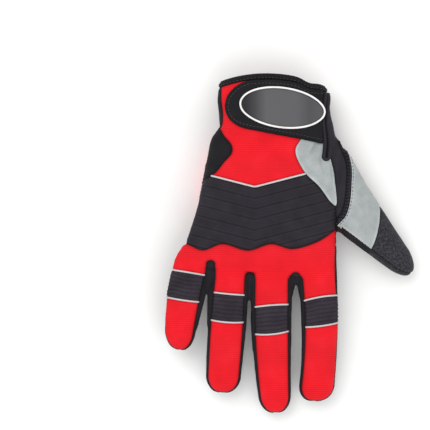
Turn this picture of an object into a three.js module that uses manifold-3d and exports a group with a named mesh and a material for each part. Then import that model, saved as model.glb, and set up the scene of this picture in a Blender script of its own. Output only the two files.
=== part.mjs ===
// Longboard slide glove for the right hand, lying palm down on its slide puck.
// Millimetres. +X points to the thumb, -Y to the fingertips and +Z out of the back of the hand.
// The origin is the centre of the puck's sliding face.
//
// The glove is drawn flat first, with its side seam near z = 0, and then droops towards the floor at the
// fingers, the thumb and the cuff. Each sewn panel is the glove's wall inside that panel's outline.

import * as THREE from 'three';
import { mergeVertices } from 'three/addons/utils/BufferGeometryUtils.js';
import Module from 'manifold-3d';

const wasm = await Module();
wasm.setup();

// Hand
const palmWidth = 110;
const handLength = 145; // cuff edge to the line of the finger roots
const cuffReach = 85; // cuff edge to the centre of the puck
const backHeight = 17; // back of the hand above the side seam
const palmDepth = 7; // palm below the side seam
const palmFlat = 6.3; // the palm is pressed flat at this depth
const knuckleSlant = 0.1; // the little finger's side of the hand is shorter
const cuffArch = 0.0048; // how fast the cuff's edge falls away to both sides, per millimetre
const cuffCrest = 3; // the arch's highest place, towards the thumb

// Fingers and thumb
const indexLength = 95.5;
const middleLength = 105;
const ringLength = 90.5;
const littleLength = 65;
const thumbLength = 112; // from deep in the palm
const fingerWidth = 27;
const fingerRise = 8.2; // back of a finger above the side seam
const fingerTaper = 0.1; // a finger's thickness lost by its tip, as a share
const thumbWidth = 37;
const thumbRise = 9.5;
const rootReach = 0.16; // a finger starts this share of its length inside the hand
const rootTaper = 2; // and narrows there

// Cloth
const wall = 1.6;
const seamGap = 0.3;
const seamHeight = -1.5; // the back panels wrap this far round to the palm side
const padRise = 0.9; // quilted pads stand proud of the cloth
const pipingRise = 0.7;
const pipingWidth = 1.4;
const bindingWidth = 4.5;
const bindingRise = 0.7;

// Finger gussets and knuckle bands
const gussetInset = 3.7; // width of a gusset seen from above, at the finger's root
const gussetTipInset = 1.2;
const crotchRadius = 3.3;
const thumbGussetInset = 5.6;
const thumbGussetTipInset = 3;
const bandLength = 20;
const bandRibPitch = 4;
const ribGrooveWidth = 0.8;
const grooveFloor = 0.2; // a groove's floor above the cloth

// Chevron pad
const chevronSlope = 0.26;
const chevronPitch = 7.5;
const chevronGrooves = 5;
const quiltGrooveWidth = 1.3;
const scallopsAcross = 3.25;
const scallopDepth = 4.2;

// Wrist strap and its badge
const strapThickness = 2.4;
const badgeHalfLength = 30.2;
const badgeHalfWidth = 15.2;
const badgeThickness = 1;
const badgeRimWidth = 1.5;
const badgeRimRise = 0.4;
const badgeTilt = -8; // degrees

// Slide puck and its hook and loop
const puckRadius = 42;
const puckThickness = 14;
const puckEdge = 4.5; // the rounded edge of the sliding face
const puckBackChamfer = 1.2;
const hookThickness = 1.2;
const hookInset = 3; // from the puck's edge
const hookRadius = puckRadius - hookInset;
const loopThickness = 1.2;
const loopOverhang = 2.5; // past the puck's edge
const loopRadius = puckRadius + loopOverhang;

// How the glove lies: each end drops below the palm, from its start outwards
const fingerDrop = 15.2;
const thumbDrop = 14.5;
const cuffDrop = 7.5;
const fingerDropGap = 1.5; // the drop starts this far past the loop patch
const thumbDropLead = 4.5; // and this far before its edge
const cuffDropLead = 6.5;
const fingerDropStart = loopRadius + fingerDropGap;
const thumbDropStart = loopRadius - thumbDropLead;
const cuffDropStart = loopRadius - cuffDropLead;
const seamPlane = puckThickness + hookThickness + loopThickness + 3 * seamGap + palmFlat;

// Fineness of the shapes
const handSides = 16;
const fingerSides = 10;
const liningHandSides = 12;
const liningFingerSides = 8;
const fingerStation = 27; // the longest straight stretch of a finger
const thumbStation = 17;
const handRounding = 2.7; // 2 is an ellipse, more is squarer
const fingerRounding = 2.35;
const tipAngles = [0, 0.6, 1.15];
const crotchAngles = [145, 90, 35];
const puckSides = 32;
const patchSides = 20;
const badgeSides = 20;
const edgeSteps = 3;
const tall = 60; // reach of a cutting prism above and below the glove

// Along: share of the hand's length from the cuff edge. Left and right: shares of the palm's width.
// Top and bottom: shares of the back's height and the palm's depth.
const handRows = [
  { along: 0.0, left: -0.275, right: 0.395, top: 0.86, bottom: 1.72 },
  { along: 0.09, left: -0.291, right: 0.43, top: 0.82, bottom: 1.45 },
  { along: 0.21, left: -0.281, right: 0.455, top: 0.79, bottom: 1.15 },
  { along: 0.27, left: -0.283, right: 0.47, top: 0.83, bottom: 1.05 },
  { along: 0.32, left: -0.327, right: 0.482, top: 0.88, bottom: 1.0 },
  { along: 0.41, left: -0.354, right: 0.486, top: 0.96, bottom: 1.0 },
  { along: 0.5, left: -0.374, right: 0.484, top: 1.0, bottom: 1.0 },
  { along: 0.62, left: -0.404, right: 0.48, top: 1.0, bottom: 1.0 },
  { along: 0.8, left: -0.47, right: 0.486, top: 0.88, bottom: 1.0 },
  { along: 0.88, left: -0.505, right: 0.488, top: 0.76, bottom: 1.0 },
  { along: 0.94, left: -0.555, right: 0.48, top: 0.62, bottom: 0.98 },
  { along: 1.0, left: -0.5, right: 0.44, top: 0.4, bottom: 0.7 },
];
const openCuffRow = { ...handRows[0], along: -0.05 }; // the lining runs out past the cuff
const cuffShare = 0.25; // the cuff end of the hand, which isn't pressed flat and is arched

// Root place: across the palm and along the hand. Lean: degrees towards the little finger's side.
// Bow: sideways, a share of the length. Root, middle and tip: shares of the width there.
// Band: the end of the knuckle band, a share of the length from the root.
const fingers = {
  index: {
    length: indexLength, across: 0.357, along: 0.966, lean: 0.3, bow: 0.028,
    root: 1.06, middle: 0.965, tip: 0.95, thickness: 1.0, band: 0.422,
  },
  middle: {
    length: middleLength, across: 0.064, along: 0.966, lean: -1.8, bow: -0.014,
    root: 1.11, middle: 1.04, tip: 0.89, thickness: 1.02, band: 0.441,
  },
  ring: {
    length: ringLength, across: -0.202, along: 0.966, lean: 4.0, bow: 0,
    root: 0.98, middle: 1.015, tip: 0.945, thickness: 0.98, band: 0.42,
  },
  little: {
    length: littleLength, across: -0.45, along: 0.931, lean: 9.2, bow: -0.03,
    root: 0.97, middle: 0.92, tip: 0.79, thickness: 0.9, band: 0.435,
  },
};
const fingerForm = { width: fingerWidth, rise: fingerRise, start: -rootReach, round: 0.47, station: fingerStation };
for (const finger of Object.values(fingers)) Object.assign(finger, fingerForm);
const thumb = {
  length: thumbLength, across: 0.272, along: 0.4235, lean: -43.8, bow: 0,
  root: 1.56, middle: 0.965, tip: 0.57, thickness: 1.0,
  width: thumbWidth, rise: thumbRise, start: 0, round: 0.4, station: thumbStation,
};
const middleShare = 0.5; // where a finger's middle and tip widths are taken
const tipShare = 0.86;

// Gussets between two fingers. Crotch: its top, a share of the hand's length.
const gussets = {
  ring_little_gusset: { left: 'little', right: 'ring', crotch: 0.925 },
  middle_ring_gusset: { left: 'ring', right: 'middle', crotch: 0.985 },
  index_middle_gusset: { left: 'middle', right: 'index', crotch: 0.985 },
};
const gussetShares = [1, 0.95, 0.86, 0.6, 0.3];
const gussetStart = 0.08;
const thumbGussetStart = 0.47;

// The thumb's tip cloth starts here along the thumb: on the outer side, two places between, the inner side.
const tipBreaks = [
  { side: 1, share: 0.615 }, { side: 0.3, share: 0.674 }, { side: -0.3, share: 0.7 }, { side: -1, share: 0.705 },
];
const thumbPalmAcross = 0.47; // the thumb's palm panel starts here across the palm
const palmHeelAlong = 0.26; // the palm panel starts here along the hand

// Panel outlines on the hand: across the palm's width, along the hand's length from the cuff edge.
const webPatchSpots = [
  { across: 0.25, along: 0.25 }, { across: 0.214, along: 0.378 }, { across: 0.272, along: 0.487 },
  { across: 0.366, along: 0.557 }, { across: 0.478, along: 0.655 }, { across: 0.474, along: 0.54 },
  { across: 0.462, along: 0.47 }, { across: 0.425, along: 0.36 }, { across: 0.4, along: 0.25 },
];
const saddleEdgeSpots = [
  { across: 0.4, along: -0.05 }, { across: 0.4, along: 0.283 }, { across: 0.42, along: 0.36 },
  { across: 0.45, along: 0.434 }, { across: 0.468, along: 0.5 }, { across: 0.476, along: 0.58 },
  { across: 0.478, along: 0.66 }, { across: 0.482, along: 0.78 },
];
const gripEdgeSpots = [
  { across: 0.53, along: 0.34 }, { across: 0.575, along: 0.41 }, { across: 0.588, along: 0.47 },
  { across: 0.584, along: 0.55 }, { across: 0.572, along: 0.64 }, { across: 0.545, along: 0.705 },
  { across: 0.488, along: 0.755 },
];
const sidePanelSpots = [
  { across: -0.45, along: 0.22 }, { across: -0.285, along: 0.27 }, { across: -0.25, along: 0.31 },
  { across: -0.2, along: 0.36 }, { across: -0.2, along: 0.395 }, { across: -0.25, along: 0.44 },
  { across: -0.325, along: 0.497 }, { across: -0.5, along: 0.52 },
];
const strapSpots = [
  { across: 0.388, along: 0.35 }, { across: 0.235, along: 0.326 }, { across: 0.0, along: 0.292 },
  { across: -0.155, along: 0.263 }, { across: -0.215, along: 0.222 }, { across: -0.238, along: 0.168 },
  { across: -0.222, along: 0.112 }, { across: -0.17, along: 0.068 }, { across: -0.1, along: 0.05 },
  { across: 0.05, along: 0.047 }, { across: 0.25, along: 0.047 }, { across: 0.388, along: 0.052 },
];
const slit = { left: 0.391, right: 0.437, foot: 0.43 };
const chevronApex = { across: -0.05, along: 0.558 };
const scallopCrest = { across: 0.062, along: 0.846 };
const scallopRise = { across: 0.24, slope: 0.52 }; // the pad's edge climbs towards the thumb from here
const badgeSpot = { across: 0.127, along: 0.173 };

function cloth(color) {
  return new THREE.MeshStandardMaterial({ color, roughness: 0.9, metalness: 0 });
}

const red = cloth(0xd81c28);
const black = cloth(0x29272d);
const charcoal = cloth(0x3b3b40);
const grey = cloth(0xa9b1b2);
const piping = new THREE.MeshStandardMaterial({ color: 0xd9d8dc, roughness: 0.5, metalness: 0 });
const badgeGrey = new THREE.MeshStandardMaterial({ color: 0x66666a, roughness: 0.6, metalness: 0 });
const puckRed = new THREE.MeshStandardMaterial({ color: 0xf5384f, roughness: 0.45, metalness: 0 });

// Solids

function solidFrom(positions, triangles) {
  const solid = new wasm.Manifold(
    new wasm.Mesh({
      numProp: 3,
      vertProperties: new Float32Array(positions),
      triVerts: new Uint32Array(triangles),
    }),
  );
  if (solid.volume() >= 0) return solid;
  const turned = [];
  for (let i = 0; i < triangles.length; i += 3) turned.push(triangles[i], triangles[i + 2], triangles[i + 1]);
  return solidFrom(positions, turned);
}

function middleOf(ring) {
  return ring.reduce((sum, p) => sum.add(p), new THREE.Vector3()).divideScalar(ring.length);
}

// A closed solid through rings of as many points each, closed to a point at each end.
function loft(rings, endPoint) {
  const sides = rings[0].length;
  const points = [...rings.flat(), middleOf(rings[0]), endPoint];
  const startIndex = points.length - 2;
  const endIndex = points.length - 1;
  const lastRing = (rings.length - 1) * sides;
  const triangles = [];
  for (let side = 0; side < sides; side++) {
    const next = (side + 1) % sides;
    for (let here = 0; here < lastRing; here += sides) {
      const there = here + sides;
      triangles.push(here + side, here + next, there + side);
      triangles.push(here + next, there + next, there + side);
    }
    triangles.push(startIndex, next, side);
    triangles.push(endIndex, lastRing + side, lastRing + next);
  }
  return solidFrom(points.flatMap((p) => [p.x, p.y, p.z]), triangles);
}

function solidOf(geometry) {
  geometry.deleteAttribute('normal');
  geometry.deleteAttribute('uv');
  const merged = mergeVertices(geometry);
  return solidFrom(Array.from(merged.attributes.position.array), Array.from(merged.index.array));
}

// A prism that stands on an outline in the plane of the glove.
function prism(outline, low = -tall, high = tall) {
  const shape = new THREE.Shape(outline.map((p) => new THREE.Vector2(p.x, p.y)));
  const geometry = new THREE.ExtrudeGeometry(shape, { depth: high - low, bevelEnabled: false });
  return solidOf(geometry.translate(0, 0, low));
}

// The outline moved outwards everywhere by a distance.
function grown(outline, by) {
  const turn = THREE.ShapeUtils.area(outline) > 0 ? 1 : -1;
  const sharpest = 0.5;
  return outline.map((point, i) => {
    const before = outline.at(i - 1);
    const after = outline[(i + 1) % outline.length];
    const into = new THREE.Vector2(point.x - before.x, point.y - before.y).normalize();
    const out = new THREE.Vector2(after.x - point.x, after.y - point.y).normalize();
    const normal = new THREE.Vector2(into.y + out.y, -into.x - out.x).normalize();
    const mitre = Math.max(sharpest, normal.x * out.y - normal.y * out.x);
    return new THREE.Vector2(point.x, point.y).addScaledVector(normal, (turn * by) / mitre);
  });
}

function joined(solids) {
  return solids.reduce((sum, solid) => sum.add(solid));
}

// A smooth line through a few spots on the hand.
function smooth(spots, steps, closed = false) {
  const through = spots.map(spot).map((p) => new THREE.Vector3(p.x, p.y, 0));
  const points = new THREE.CatmullRomCurve3(through, closed, 'centripetal').getPoints(steps);
  const flat = points.map((p) => new THREE.Vector2(p.x, p.y));
  return closed ? flat.slice(0, -1) : flat;
}

// The glove's shape

function spot({ across, along }) {
  return new THREE.Vector2(across * palmWidth, cuffReach - along * handLength);
}

// One ring of a flattened tube. Form: its half width, its top and bottom, its flat depth and its rounding.
function ringPoints(centre, right, form, sides) {
  const power = 2 / form.rounding;
  return Array.from({ length: sides }, (_, i) => {
    const angle = (2 * Math.PI * i) / sides;
    const across = Math.sign(Math.cos(angle)) * Math.abs(Math.cos(angle)) ** power * form.half;
    const up = Math.abs(Math.sin(angle)) ** power;
    const height = Math.sin(angle) >= 0 ? up * form.top : Math.max(-up * form.bottom, -form.flat);
    return new THREE.Vector3(centre.x + right.x * across, centre.y + right.y * across, height);
  });
}

function handRing(row, grow) {
  const left = row.left * palmWidth - grow;
  const right = row.right * palmWidth + grow;
  const isEnd = row === handRows.at(-1);
  const centre = new THREE.Vector2((left + right) / 2, cuffReach - row.along * handLength - (isEnd ? grow : 0));
  const form = {
    half: (right - left) / 2,
    top: row.top * backHeight + grow,
    bottom: row.bottom * palmDepth + grow,
    flat: row.along < cuffShare ? tall : palmFlat + grow,
    rounding: handRounding,
  };
  const ring = ringPoints(centre, new THREE.Vector2(1, 0), form, grow < 0 ? liningHandSides : handSides);
  const slant = knuckleSlant * Math.max(row.along, 0) ** 2;
  const arch = cuffArch * Math.max(0, 1 - row.along / cuffShare);
  for (const p of ring) p.y -= slant * p.x + arch * (p.x - cuffCrest) ** 2;
  return ring;
}

function handSolid(grow) {
  const rows = grow < 0 ? [openCuffRow, ...handRows.slice(1)] : handRows;
  const rings = rows.map((row) => handRing(row, grow));
  return loft(rings, middleOf(rings.at(-1)));
}

// A finger's centre line at a share of its length: the point, and the directions across and along.
function fingerAt(finger, share) {
  const lean = THREE.MathUtils.degToRad(finger.lean);
  const along = new THREE.Vector2(-Math.sin(lean), -Math.cos(lean));
  const right = new THREE.Vector2(-along.y, along.x);
  const bow = finger.bow * finger.length * Math.max(0, 4 * share * (1 - share));
  const point = spot(finger).addScaledVector(along, share * finger.length).addScaledVector(right, bow);
  return { point, right, along };
}

// Half the finger's width, on a curve through its widths at the root, the middle and the tip.
function halfWidth(finger, share) {
  const t = Math.max(share, 0);
  const root = (finger.root * (t - middleShare) * (t - tipShare)) / (middleShare * tipShare);
  const middle = (finger.middle * t * (t - tipShare)) / (middleShare * (middleShare - tipShare));
  const tip = (finger.tip * t * (t - middleShare)) / (tipShare * (tipShare - middleShare));
  const buried = 1 + rootTaper * Math.min(share, 0);
  return (buried * (root + middle + tip) * finger.width) / 2;
}

// Where a finger starts to round off to its tip.
function roundStart(finger) {
  return 1 - (finger.round * finger.width) / finger.length;
}

function fingerStations(finger) {
  const roundShare = roundStart(finger);
  const straight = roundShare - finger.start;
  const spans = Math.ceil((straight * finger.length) / finger.station);
  const stations = [];
  for (let i = 0; i < spans; i++) {
    stations.push({ share: finger.start + (straight * i) / spans, round: 1, tip: 0 });
  }
  for (const angle of tipAngles) {
    const tip = Math.sin(angle);
    stations.push({ share: roundShare + (1 - roundShare) * tip, round: Math.cos(angle), tip });
  }
  return stations;
}

function fingerSolid(finger, grow) {
  const rings = fingerStations(finger).map(({ share, round, tip }) => {
    const { point, right, along } = fingerAt(finger, share);
    const taper = finger.thickness * (1 - fingerTaper * Math.max(share, 0));
    const form = {
      half: (halfWidth(finger, share) + grow) * round,
      top: (finger.rise * taper + grow) * round,
      bottom: (palmFlat * taper + grow) * round,
      flat: tall,
      rounding: fingerRounding,
    };
    point.addScaledVector(along, grow * tip);
    return ringPoints(point, right, form, grow < 0 ? liningFingerSides : fingerSides);
  });
  const end = fingerAt(finger, 1);
  end.point.addScaledVector(end.along, grow);
  return loft(rings, new THREE.Vector3(end.point.x, end.point.y, 0));
}

// The whole glove as one filled solid, grown outwards.
const filledGloves = new Map();
function filledGlove(grow) {
  if (!filledGloves.has(grow)) {
    const limbs = [...Object.values(fingers), thumb].map((limb) => fingerSolid(limb, grow));
    filledGloves.set(grow, joined([handSolid(grow), ...limbs]));
  }
  return filledGloves.get(grow);
}

// A layer of the glove between two offsets from its outside.
function layer(inner, outer) {
  return filledGlove(outer).subtract(filledGlove(inner));
}

const plainLayer = layer(-wall, 0);
const paddedLayer = layer(-wall, padRise);
const pipingLayer = layer(-wall, pipingRise);
const bindingLayer = layer(-wall, bindingRise);

// Outlines in the plane of the glove

const backEdge = palmWidth * 0.58; // past the hand on both sides

function chevronLine(x, below = 0) {
  const apex = spot(chevronApex);
  return apex.y + chevronSlope * Math.abs(x - apex.x) - below;
}

function bindingLine(x) {
  return cuffReach - cuffArch * (x - cuffCrest) ** 2 - bindingWidth;
}

function scallopLine(x) {
  const crest = spot(scallopCrest);
  const rise = Math.max(0, x - scallopRise.across * palmWidth) * scallopRise.slope;
  const wave = Math.cos((2 * Math.PI * (x - crest.x) * scallopsAcross) / palmWidth);
  return crest.y + ((wave - 1) * scallopDepth) / 2 + rise;
}

// The points of a line over the width of the hand, from left to right.
function lineAcross(line, steps) {
  return Array.from({ length: steps + 1 }, (_, i) => {
    const x = backEdge * ((2 * i) / steps - 1);
    return new THREE.Vector2(x, line(x));
  });
}

function between(upperLine, lowerLine, steps) {
  return [...lineAcross(lowerLine, steps), ...lineAcross(upperLine, steps).reverse()];
}

// A chevron strip of some width, that far below the chevron line.
function chevronStrip(below, width) {
  const apex = spot(chevronApex).x;
  const at = (x, depth) => new THREE.Vector2(x, chevronLine(x, depth));
  const upper = [-backEdge, apex, backEdge].map((x) => at(x, below));
  const lower = [backEdge, apex, -backEdge].map((x) => at(x, below + width));
  return [...upper, ...lower];
}

// One side of a finger seen from above, from its tip to its root, moved in by the gusset's width.
function sideLine(finger, side, rootShare, insetAtRoot, insetAtTip) {
  const roundShare = roundStart(finger);
  const shares = gussetShares.filter((share) => share > rootShare);
  return [...shares, rootShare].map((share) => {
    const { point, right } = fingerAt(finger, share);
    const inset = THREE.MathUtils.lerp(insetAtRoot, insetAtTip, share);
    const tip = Math.max(0, share - roundShare) / (1 - roundShare);
    const half = halfWidth(finger, share) * Math.sqrt(1 - tip ** 2) - inset;
    return point.addScaledVector(right, side * Math.max(0, half));
  });
}

// Both facing sides of two fingers and the crotch between them, open towards the fingertips.
function gussetOutline({ left, right, crotch }) {
  const top = cuffReach - crotch * handLength;
  const side = (name, sign) => sideLine(fingers[name], sign, gussetStart, gussetInset, gussetTipInset);
  const leftLine = side(left, 1);
  const rightLine = side(right, -1);
  const middle = (leftLine.at(-1).x + rightLine.at(-1).x) / 2;
  const arc = crotchAngles.map((degrees) => {
    const angle = THREE.MathUtils.degToRad(degrees);
    const rise = crotchRadius * (Math.sin(angle) - 1);
    return new THREE.Vector2(middle + Math.cos(angle) * crotchRadius, top + rise);
  });
  const belowArc = (p) => p.y < top - crotchRadius;
  const beyond = (p) => new THREE.Vector2(p.x, p.y - fingerWidth);
  return [
    beyond(leftLine[0]), ...leftLine.filter(belowArc), ...arc,
    ...rightLine.filter(belowArc).reverse(), beyond(rightLine[0]),
  ];
}

// A strip straight across a finger between two shares of its length.
function fingerStrip(finger, fromShare, toShare) {
  const corner = (share, side) => {
    const { point, right } = fingerAt(finger, share);
    return point.addScaledVector(right, side * (finger.width / 2 + 2 * wall));
  };
  return [corner(fromShare, -1), corner(toShare, -1), corner(toShare, 1), corner(fromShare, 1)];
}

function ellipse(centre, halfLength, halfBreadth, tilt, steps) {
  return Array.from({ length: steps }, (_, i) => {
    const angle = (2 * Math.PI * i) / steps;
    const p = new THREE.Vector2(Math.cos(angle) * halfLength, Math.sin(angle) * halfBreadth);
    return p.rotateAround(new THREE.Vector2(), THREE.MathUtils.degToRad(tilt)).add(centre);
  });
}

// Pieces

const glove = new THREE.Group();
let taken = null; // what the panels cut so far cover, with their seam gaps
const backSide = [seamHeight, tall];
const palmSide = [-tall, seamHeight - seamGap];
const bothSides = [-tall, tall];
const beyondTip = 1.2; // a share of a finger's length well past its tip

function droop(x, y) {
  const bend = (distance, length) => (Math.max(0, distance) / length) ** 2;
  const fingerRun = handLength - cuffReach + middleLength - fingerDropStart;
  const thumbRun = palmWidth - thumbDropStart;
  const cuffRun = cuffReach - cuffDropStart;
  return fingerDrop * bend(-y - fingerDropStart, fingerRun)
    + thumbDrop * bend(x - thumbDropStart, thumbRun)
    + cuffDrop * bend(y - cuffDropStart, cuffRun);
}

function addPiece(name, material, solid) {
  const mesh = solid.getMesh();
  const geometry = new THREE.BufferGeometry();
  geometry.setAttribute('position', new THREE.Float32BufferAttribute(mesh.vertProperties, mesh.numProp));
  geometry.setIndex(Array.from(mesh.triVerts));
  const piece = new THREE.Mesh(geometry, material);
  piece.name = name;
  glove.add(piece);
  return piece;
}

// A piece of cloth, which follows the way the glove lies. Crumbs beside the piece are left out.
function addCloth(name, material, solid) {
  const whole = solid.decompose().reduce((a, b) => (b.volume() > a.volume() ? b : a));
  const position = addPiece(name, material, whole).geometry.attributes.position;
  for (let i = 0; i < position.count; i++) {
    position.setZ(i, position.getZ(i) + seamPlane - droop(position.getX(i), position.getY(i)));
  }
}

function cutPanel(name, material, from, outline, [low, high]) {
  const region = prism(outline, low, high);
  const free = taken ? region.subtract(taken) : region;
  const cover = prism(grown(outline, seamGap), low - seamGap, high + seamGap);
  taken = taken ? taken.add(cover) : cover;
  addCloth(name, material, from.intersect(free));
}

function cutGussets() {
  for (const [name, gusset] of Object.entries(gussets)) {
    cutPanel(name, black, plainLayer, gussetOutline(gusset), bothSides);
  }
  const inside = sideLine(thumb, -1, thumbGussetStart, thumbGussetInset, thumbGussetTipInset);
  const outside = [...inside].reverse().map((p) => new THREE.Vector2(p.x, p.y - thumbWidth / 2));
  cutPanel('thumb_gusset', black, plainLayer, [...inside, ...outside], bothSides);
}

function cutBinding() {
  const outline = between(() => cuffReach + wall, bindingLine, 14);
  cutPanel('cuff_binding', black, bindingLayer, outline, bothSides);
}

function bandStart(finger) {
  return finger.band - bandLength / finger.length;
}

function cutFingerPiping() {
  for (const [name, finger] of Object.entries(fingers)) {
    const width = pipingWidth / finger.length;
    const upper = fingerStrip(finger, bandStart(finger) - width, bandStart(finger));
    const lower = fingerStrip(finger, finger.band, finger.band + width);
    cutPanel(`${name}_upper_piping`, piping, pipingLayer, upper, backSide);
    cutPanel(`${name}_lower_piping`, piping, pipingLayer, lower, backSide);
  }
}

function cutThumbBack() {
  const acrossThumb = (share, side) => {
    const { point, right } = fingerAt(thumb, share);
    return point.addScaledVector(right, (side * thumbWidth) / 2);
  };
  const breakLine = tipBreaks.map(({ share, side }) => acrossThumb(share, side));
  const beyond = [acrossThumb(beyondTip, -1), acrossThumb(beyondTip, 1)];
  cutPanel('thumb_tip_back', charcoal, plainLayer, [...breakLine, ...beyond], backSide);
  const gripEdge = smooth(gripEdgeSpots, 6);
  const outside = [acrossThumb(beyondTip, 0), new THREE.Vector2(palmWidth, gripEdge[0].y)];
  cutPanel('thumb_grip_patch', grey, plainLayer, [...gripEdge, ...outside], backSide);
}

function cutHandBack() {
  cutPanel('wrist_side_panel', black, plainLayer, smooth(sidePanelSpots, 8), backSide);
  cutPanel('web_patch', grey, plainLayer, smooth(webPatchSpots, 12, true), backSide);
  const saddleEdge = smooth(saddleEdgeSpots, 7);
  const beside = [saddleEdge.at(-1), saddleEdge[0]].map((p) => new THREE.Vector2(palmWidth, p.y));
  cutPanel('thumb_saddle', black, plainLayer, [...saddleEdge, ...beside], backSide);
  cutPanel('chevron_piping', piping, pipingLayer, chevronStrip(0, pipingWidth), backSide);
  const [left, apex, right] = chevronStrip(0, pipingWidth);
  const cuffCorners = [new THREE.Vector2(backEdge, cuffReach), new THREE.Vector2(-backEdge, cuffReach)];
  cutPanel('wrist_back_panel', red, plainLayer, [left, apex, right, ...cuffCorners], backSide);
  const padTop = chevronStrip(0, pipingWidth).slice(3);
  const quilted = paddedLayer.subtract(quiltGrooves());
  cutPanel('chevron_pad', black, quilted, [...padTop, ...lineAcross(scallopLine, 18)], backSide);
}

// The grooves between the chevron pad's ribs.
function quiltGrooves() {
  const strips = [];
  for (let i = 1; i <= chevronGrooves; i++) {
    strips.push(prism(chevronStrip(i * chevronPitch, quiltGrooveWidth), 0));
  }
  return joined(strips).subtract(filledGlove(grooveFloor));
}

// The grooves between the ribs of a finger's knuckle band.
function ribGrooves(finger) {
  const width = ribGrooveWidth / finger.length;
  const strips = [];
  for (let run = bandRibPitch; run < bandLength - ribGrooveWidth; run += bandRibPitch) {
    const share = bandStart(finger) + run / finger.length;
    strips.push(prism(fingerStrip(finger, share, share + width), 0));
  }
  return joined(strips).subtract(filledGlove(grooveFloor));
}

function cutFingerBacks() {
  for (const [name, finger] of Object.entries(fingers)) {
    const ribbed = paddedLayer.subtract(ribGrooves(finger));
    const band = fingerStrip(finger, bandStart(finger), finger.band);
    cutPanel(`${name}_knuckle_band`, black, ribbed, band, backSide);
    const tip = fingerStrip(finger, finger.band, beyondTip);
    cutPanel(`${name}_tip_back`, red, plainLayer, tip, backSide);
  }
  const knuckles = between(() => 0, () => -handLength, 1);
  cutPanel('knuckle_back_panel', red, plainLayer, knuckles, backSide);
}

function cutPalm() {
  for (const [name, finger] of Object.entries(fingers)) {
    const tip = fingerStrip(finger, finger.band, beyondTip);
    cutPanel(`${name}_tip_palm`, black, plainLayer, tip, palmSide);
  }
  const thumbEdge = thumbPalmAcross * palmWidth;
  const thumbPalm = [
    new THREE.Vector2(thumbEdge, cuffReach / 2),
    new THREE.Vector2(thumbEdge, -handLength / 4),
    fingerAt(thumb, beyondTip).point,
    new THREE.Vector2(palmWidth, cuffReach / 2),
  ];
  cutPanel('thumb_palm', black, plainLayer, thumbPalm, palmSide);
  const palmHeel = cuffReach - palmHeelAlong * handLength;
  cutPanel('wrist_palm_panel', black, plainLayer, between(() => cuffReach, () => palmHeel, 1), palmSide);
  cutPanel('palm_panel', black, plainLayer, between(() => palmHeel, () => -handLength, 1), palmSide);
}

function addBadge(strapTop) {
  const oval = (inset) => {
    const length = badgeHalfLength - inset;
    return prism(ellipse(spot(badgeSpot), length, badgeHalfWidth - inset, badgeTilt, badgeSides), 0);
  };
  const under = strapTop + seamGap;
  const over = under + badgeThickness;
  const rim = oval(0).subtract(oval(badgeRimWidth));
  addCloth('strap_badge', badgeGrey, layer(under, over).intersect(oval(badgeRimWidth + seamGap)));
  addCloth('strap_badge_rim', piping, layer(under, over + badgeRimRise).intersect(rim));
}

// The binding of the slit beside the thumb, round at its foot.
function slitOutline() {
  const left = slit.left * palmWidth;
  const right = slit.right * palmWidth;
  const radius = (right - left) / 2;
  const centre = new THREE.Vector2(left + radius, cuffReach - slit.foot * handLength + radius);
  const foot = ellipse(centre, radius, radius, 180, 8).slice(0, 5);
  const top = [right, left].map((x) => new THREE.Vector2(x, bindingLine(x) - seamGap));
  return [...foot, ...top];
}

function addStrap() {
  const strapTop = seamGap + strapThickness;
  const strapLayer = layer(seamGap, strapTop);
  const belowBinding = (p) => new THREE.Vector2(p.x, Math.min(p.y, bindingLine(p.x) - seamGap));
  const outline = smooth(strapSpots, 16).map(belowBinding);
  addCloth('wrist_strap', black, strapLayer.intersect(prism(outline, 0)));
  addCloth('slit_binding', black, strapLayer.intersect(prism(slitOutline(), 0)));
  addBadge(strapTop);
}

function addPuck() {
  const profile = [new THREE.Vector2(0, 0)];
  for (let i = 0; i <= edgeSteps; i++) {
    const angle = (Math.PI / 2) * (i / edgeSteps);
    const radius = puckRadius - puckEdge * (1 - Math.sin(angle));
    profile.push(new THREE.Vector2(radius, puckEdge * (1 - Math.cos(angle))));
  }
  profile.push(
    new THREE.Vector2(puckRadius, puckThickness - puckBackChamfer),
    new THREE.Vector2(puckRadius - puckBackChamfer, puckThickness),
    new THREE.Vector2(0, puckThickness),
  );
  const puck = new THREE.LatheGeometry(profile, puckSides).rotateX(Math.PI / 2);
  addPiece('slide_puck', puckRed, solidOf(puck));
}

function addHookAndLoop() {
  const hook = new THREE.CylinderGeometry(hookRadius, hookRadius, hookThickness, puckSides);
  hook.rotateX(Math.PI / 2);
  hook.translate(0, 0, puckThickness + seamGap + hookThickness / 2);
  addPiece('puck_hook_disc', black, solidOf(hook));
  const disc = prism(ellipse(new THREE.Vector2(), loopRadius, loopRadius, 0, patchSides), -tall, seamHeight);
  addCloth('palm_loop_patch', black, layer(seamGap, seamGap + loopThickness).intersect(disc));
}

cutGussets();
cutBinding();
cutFingerPiping();
cutThumbBack();
cutHandBack();
cutFingerBacks();
cutPalm();
addStrap();
addPuck();
addHookAndLoop();

export default glove;
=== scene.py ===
import math

import bpy
import numpy as np
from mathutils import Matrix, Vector, noise
from mathutils.kdtree import KDTree


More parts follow.
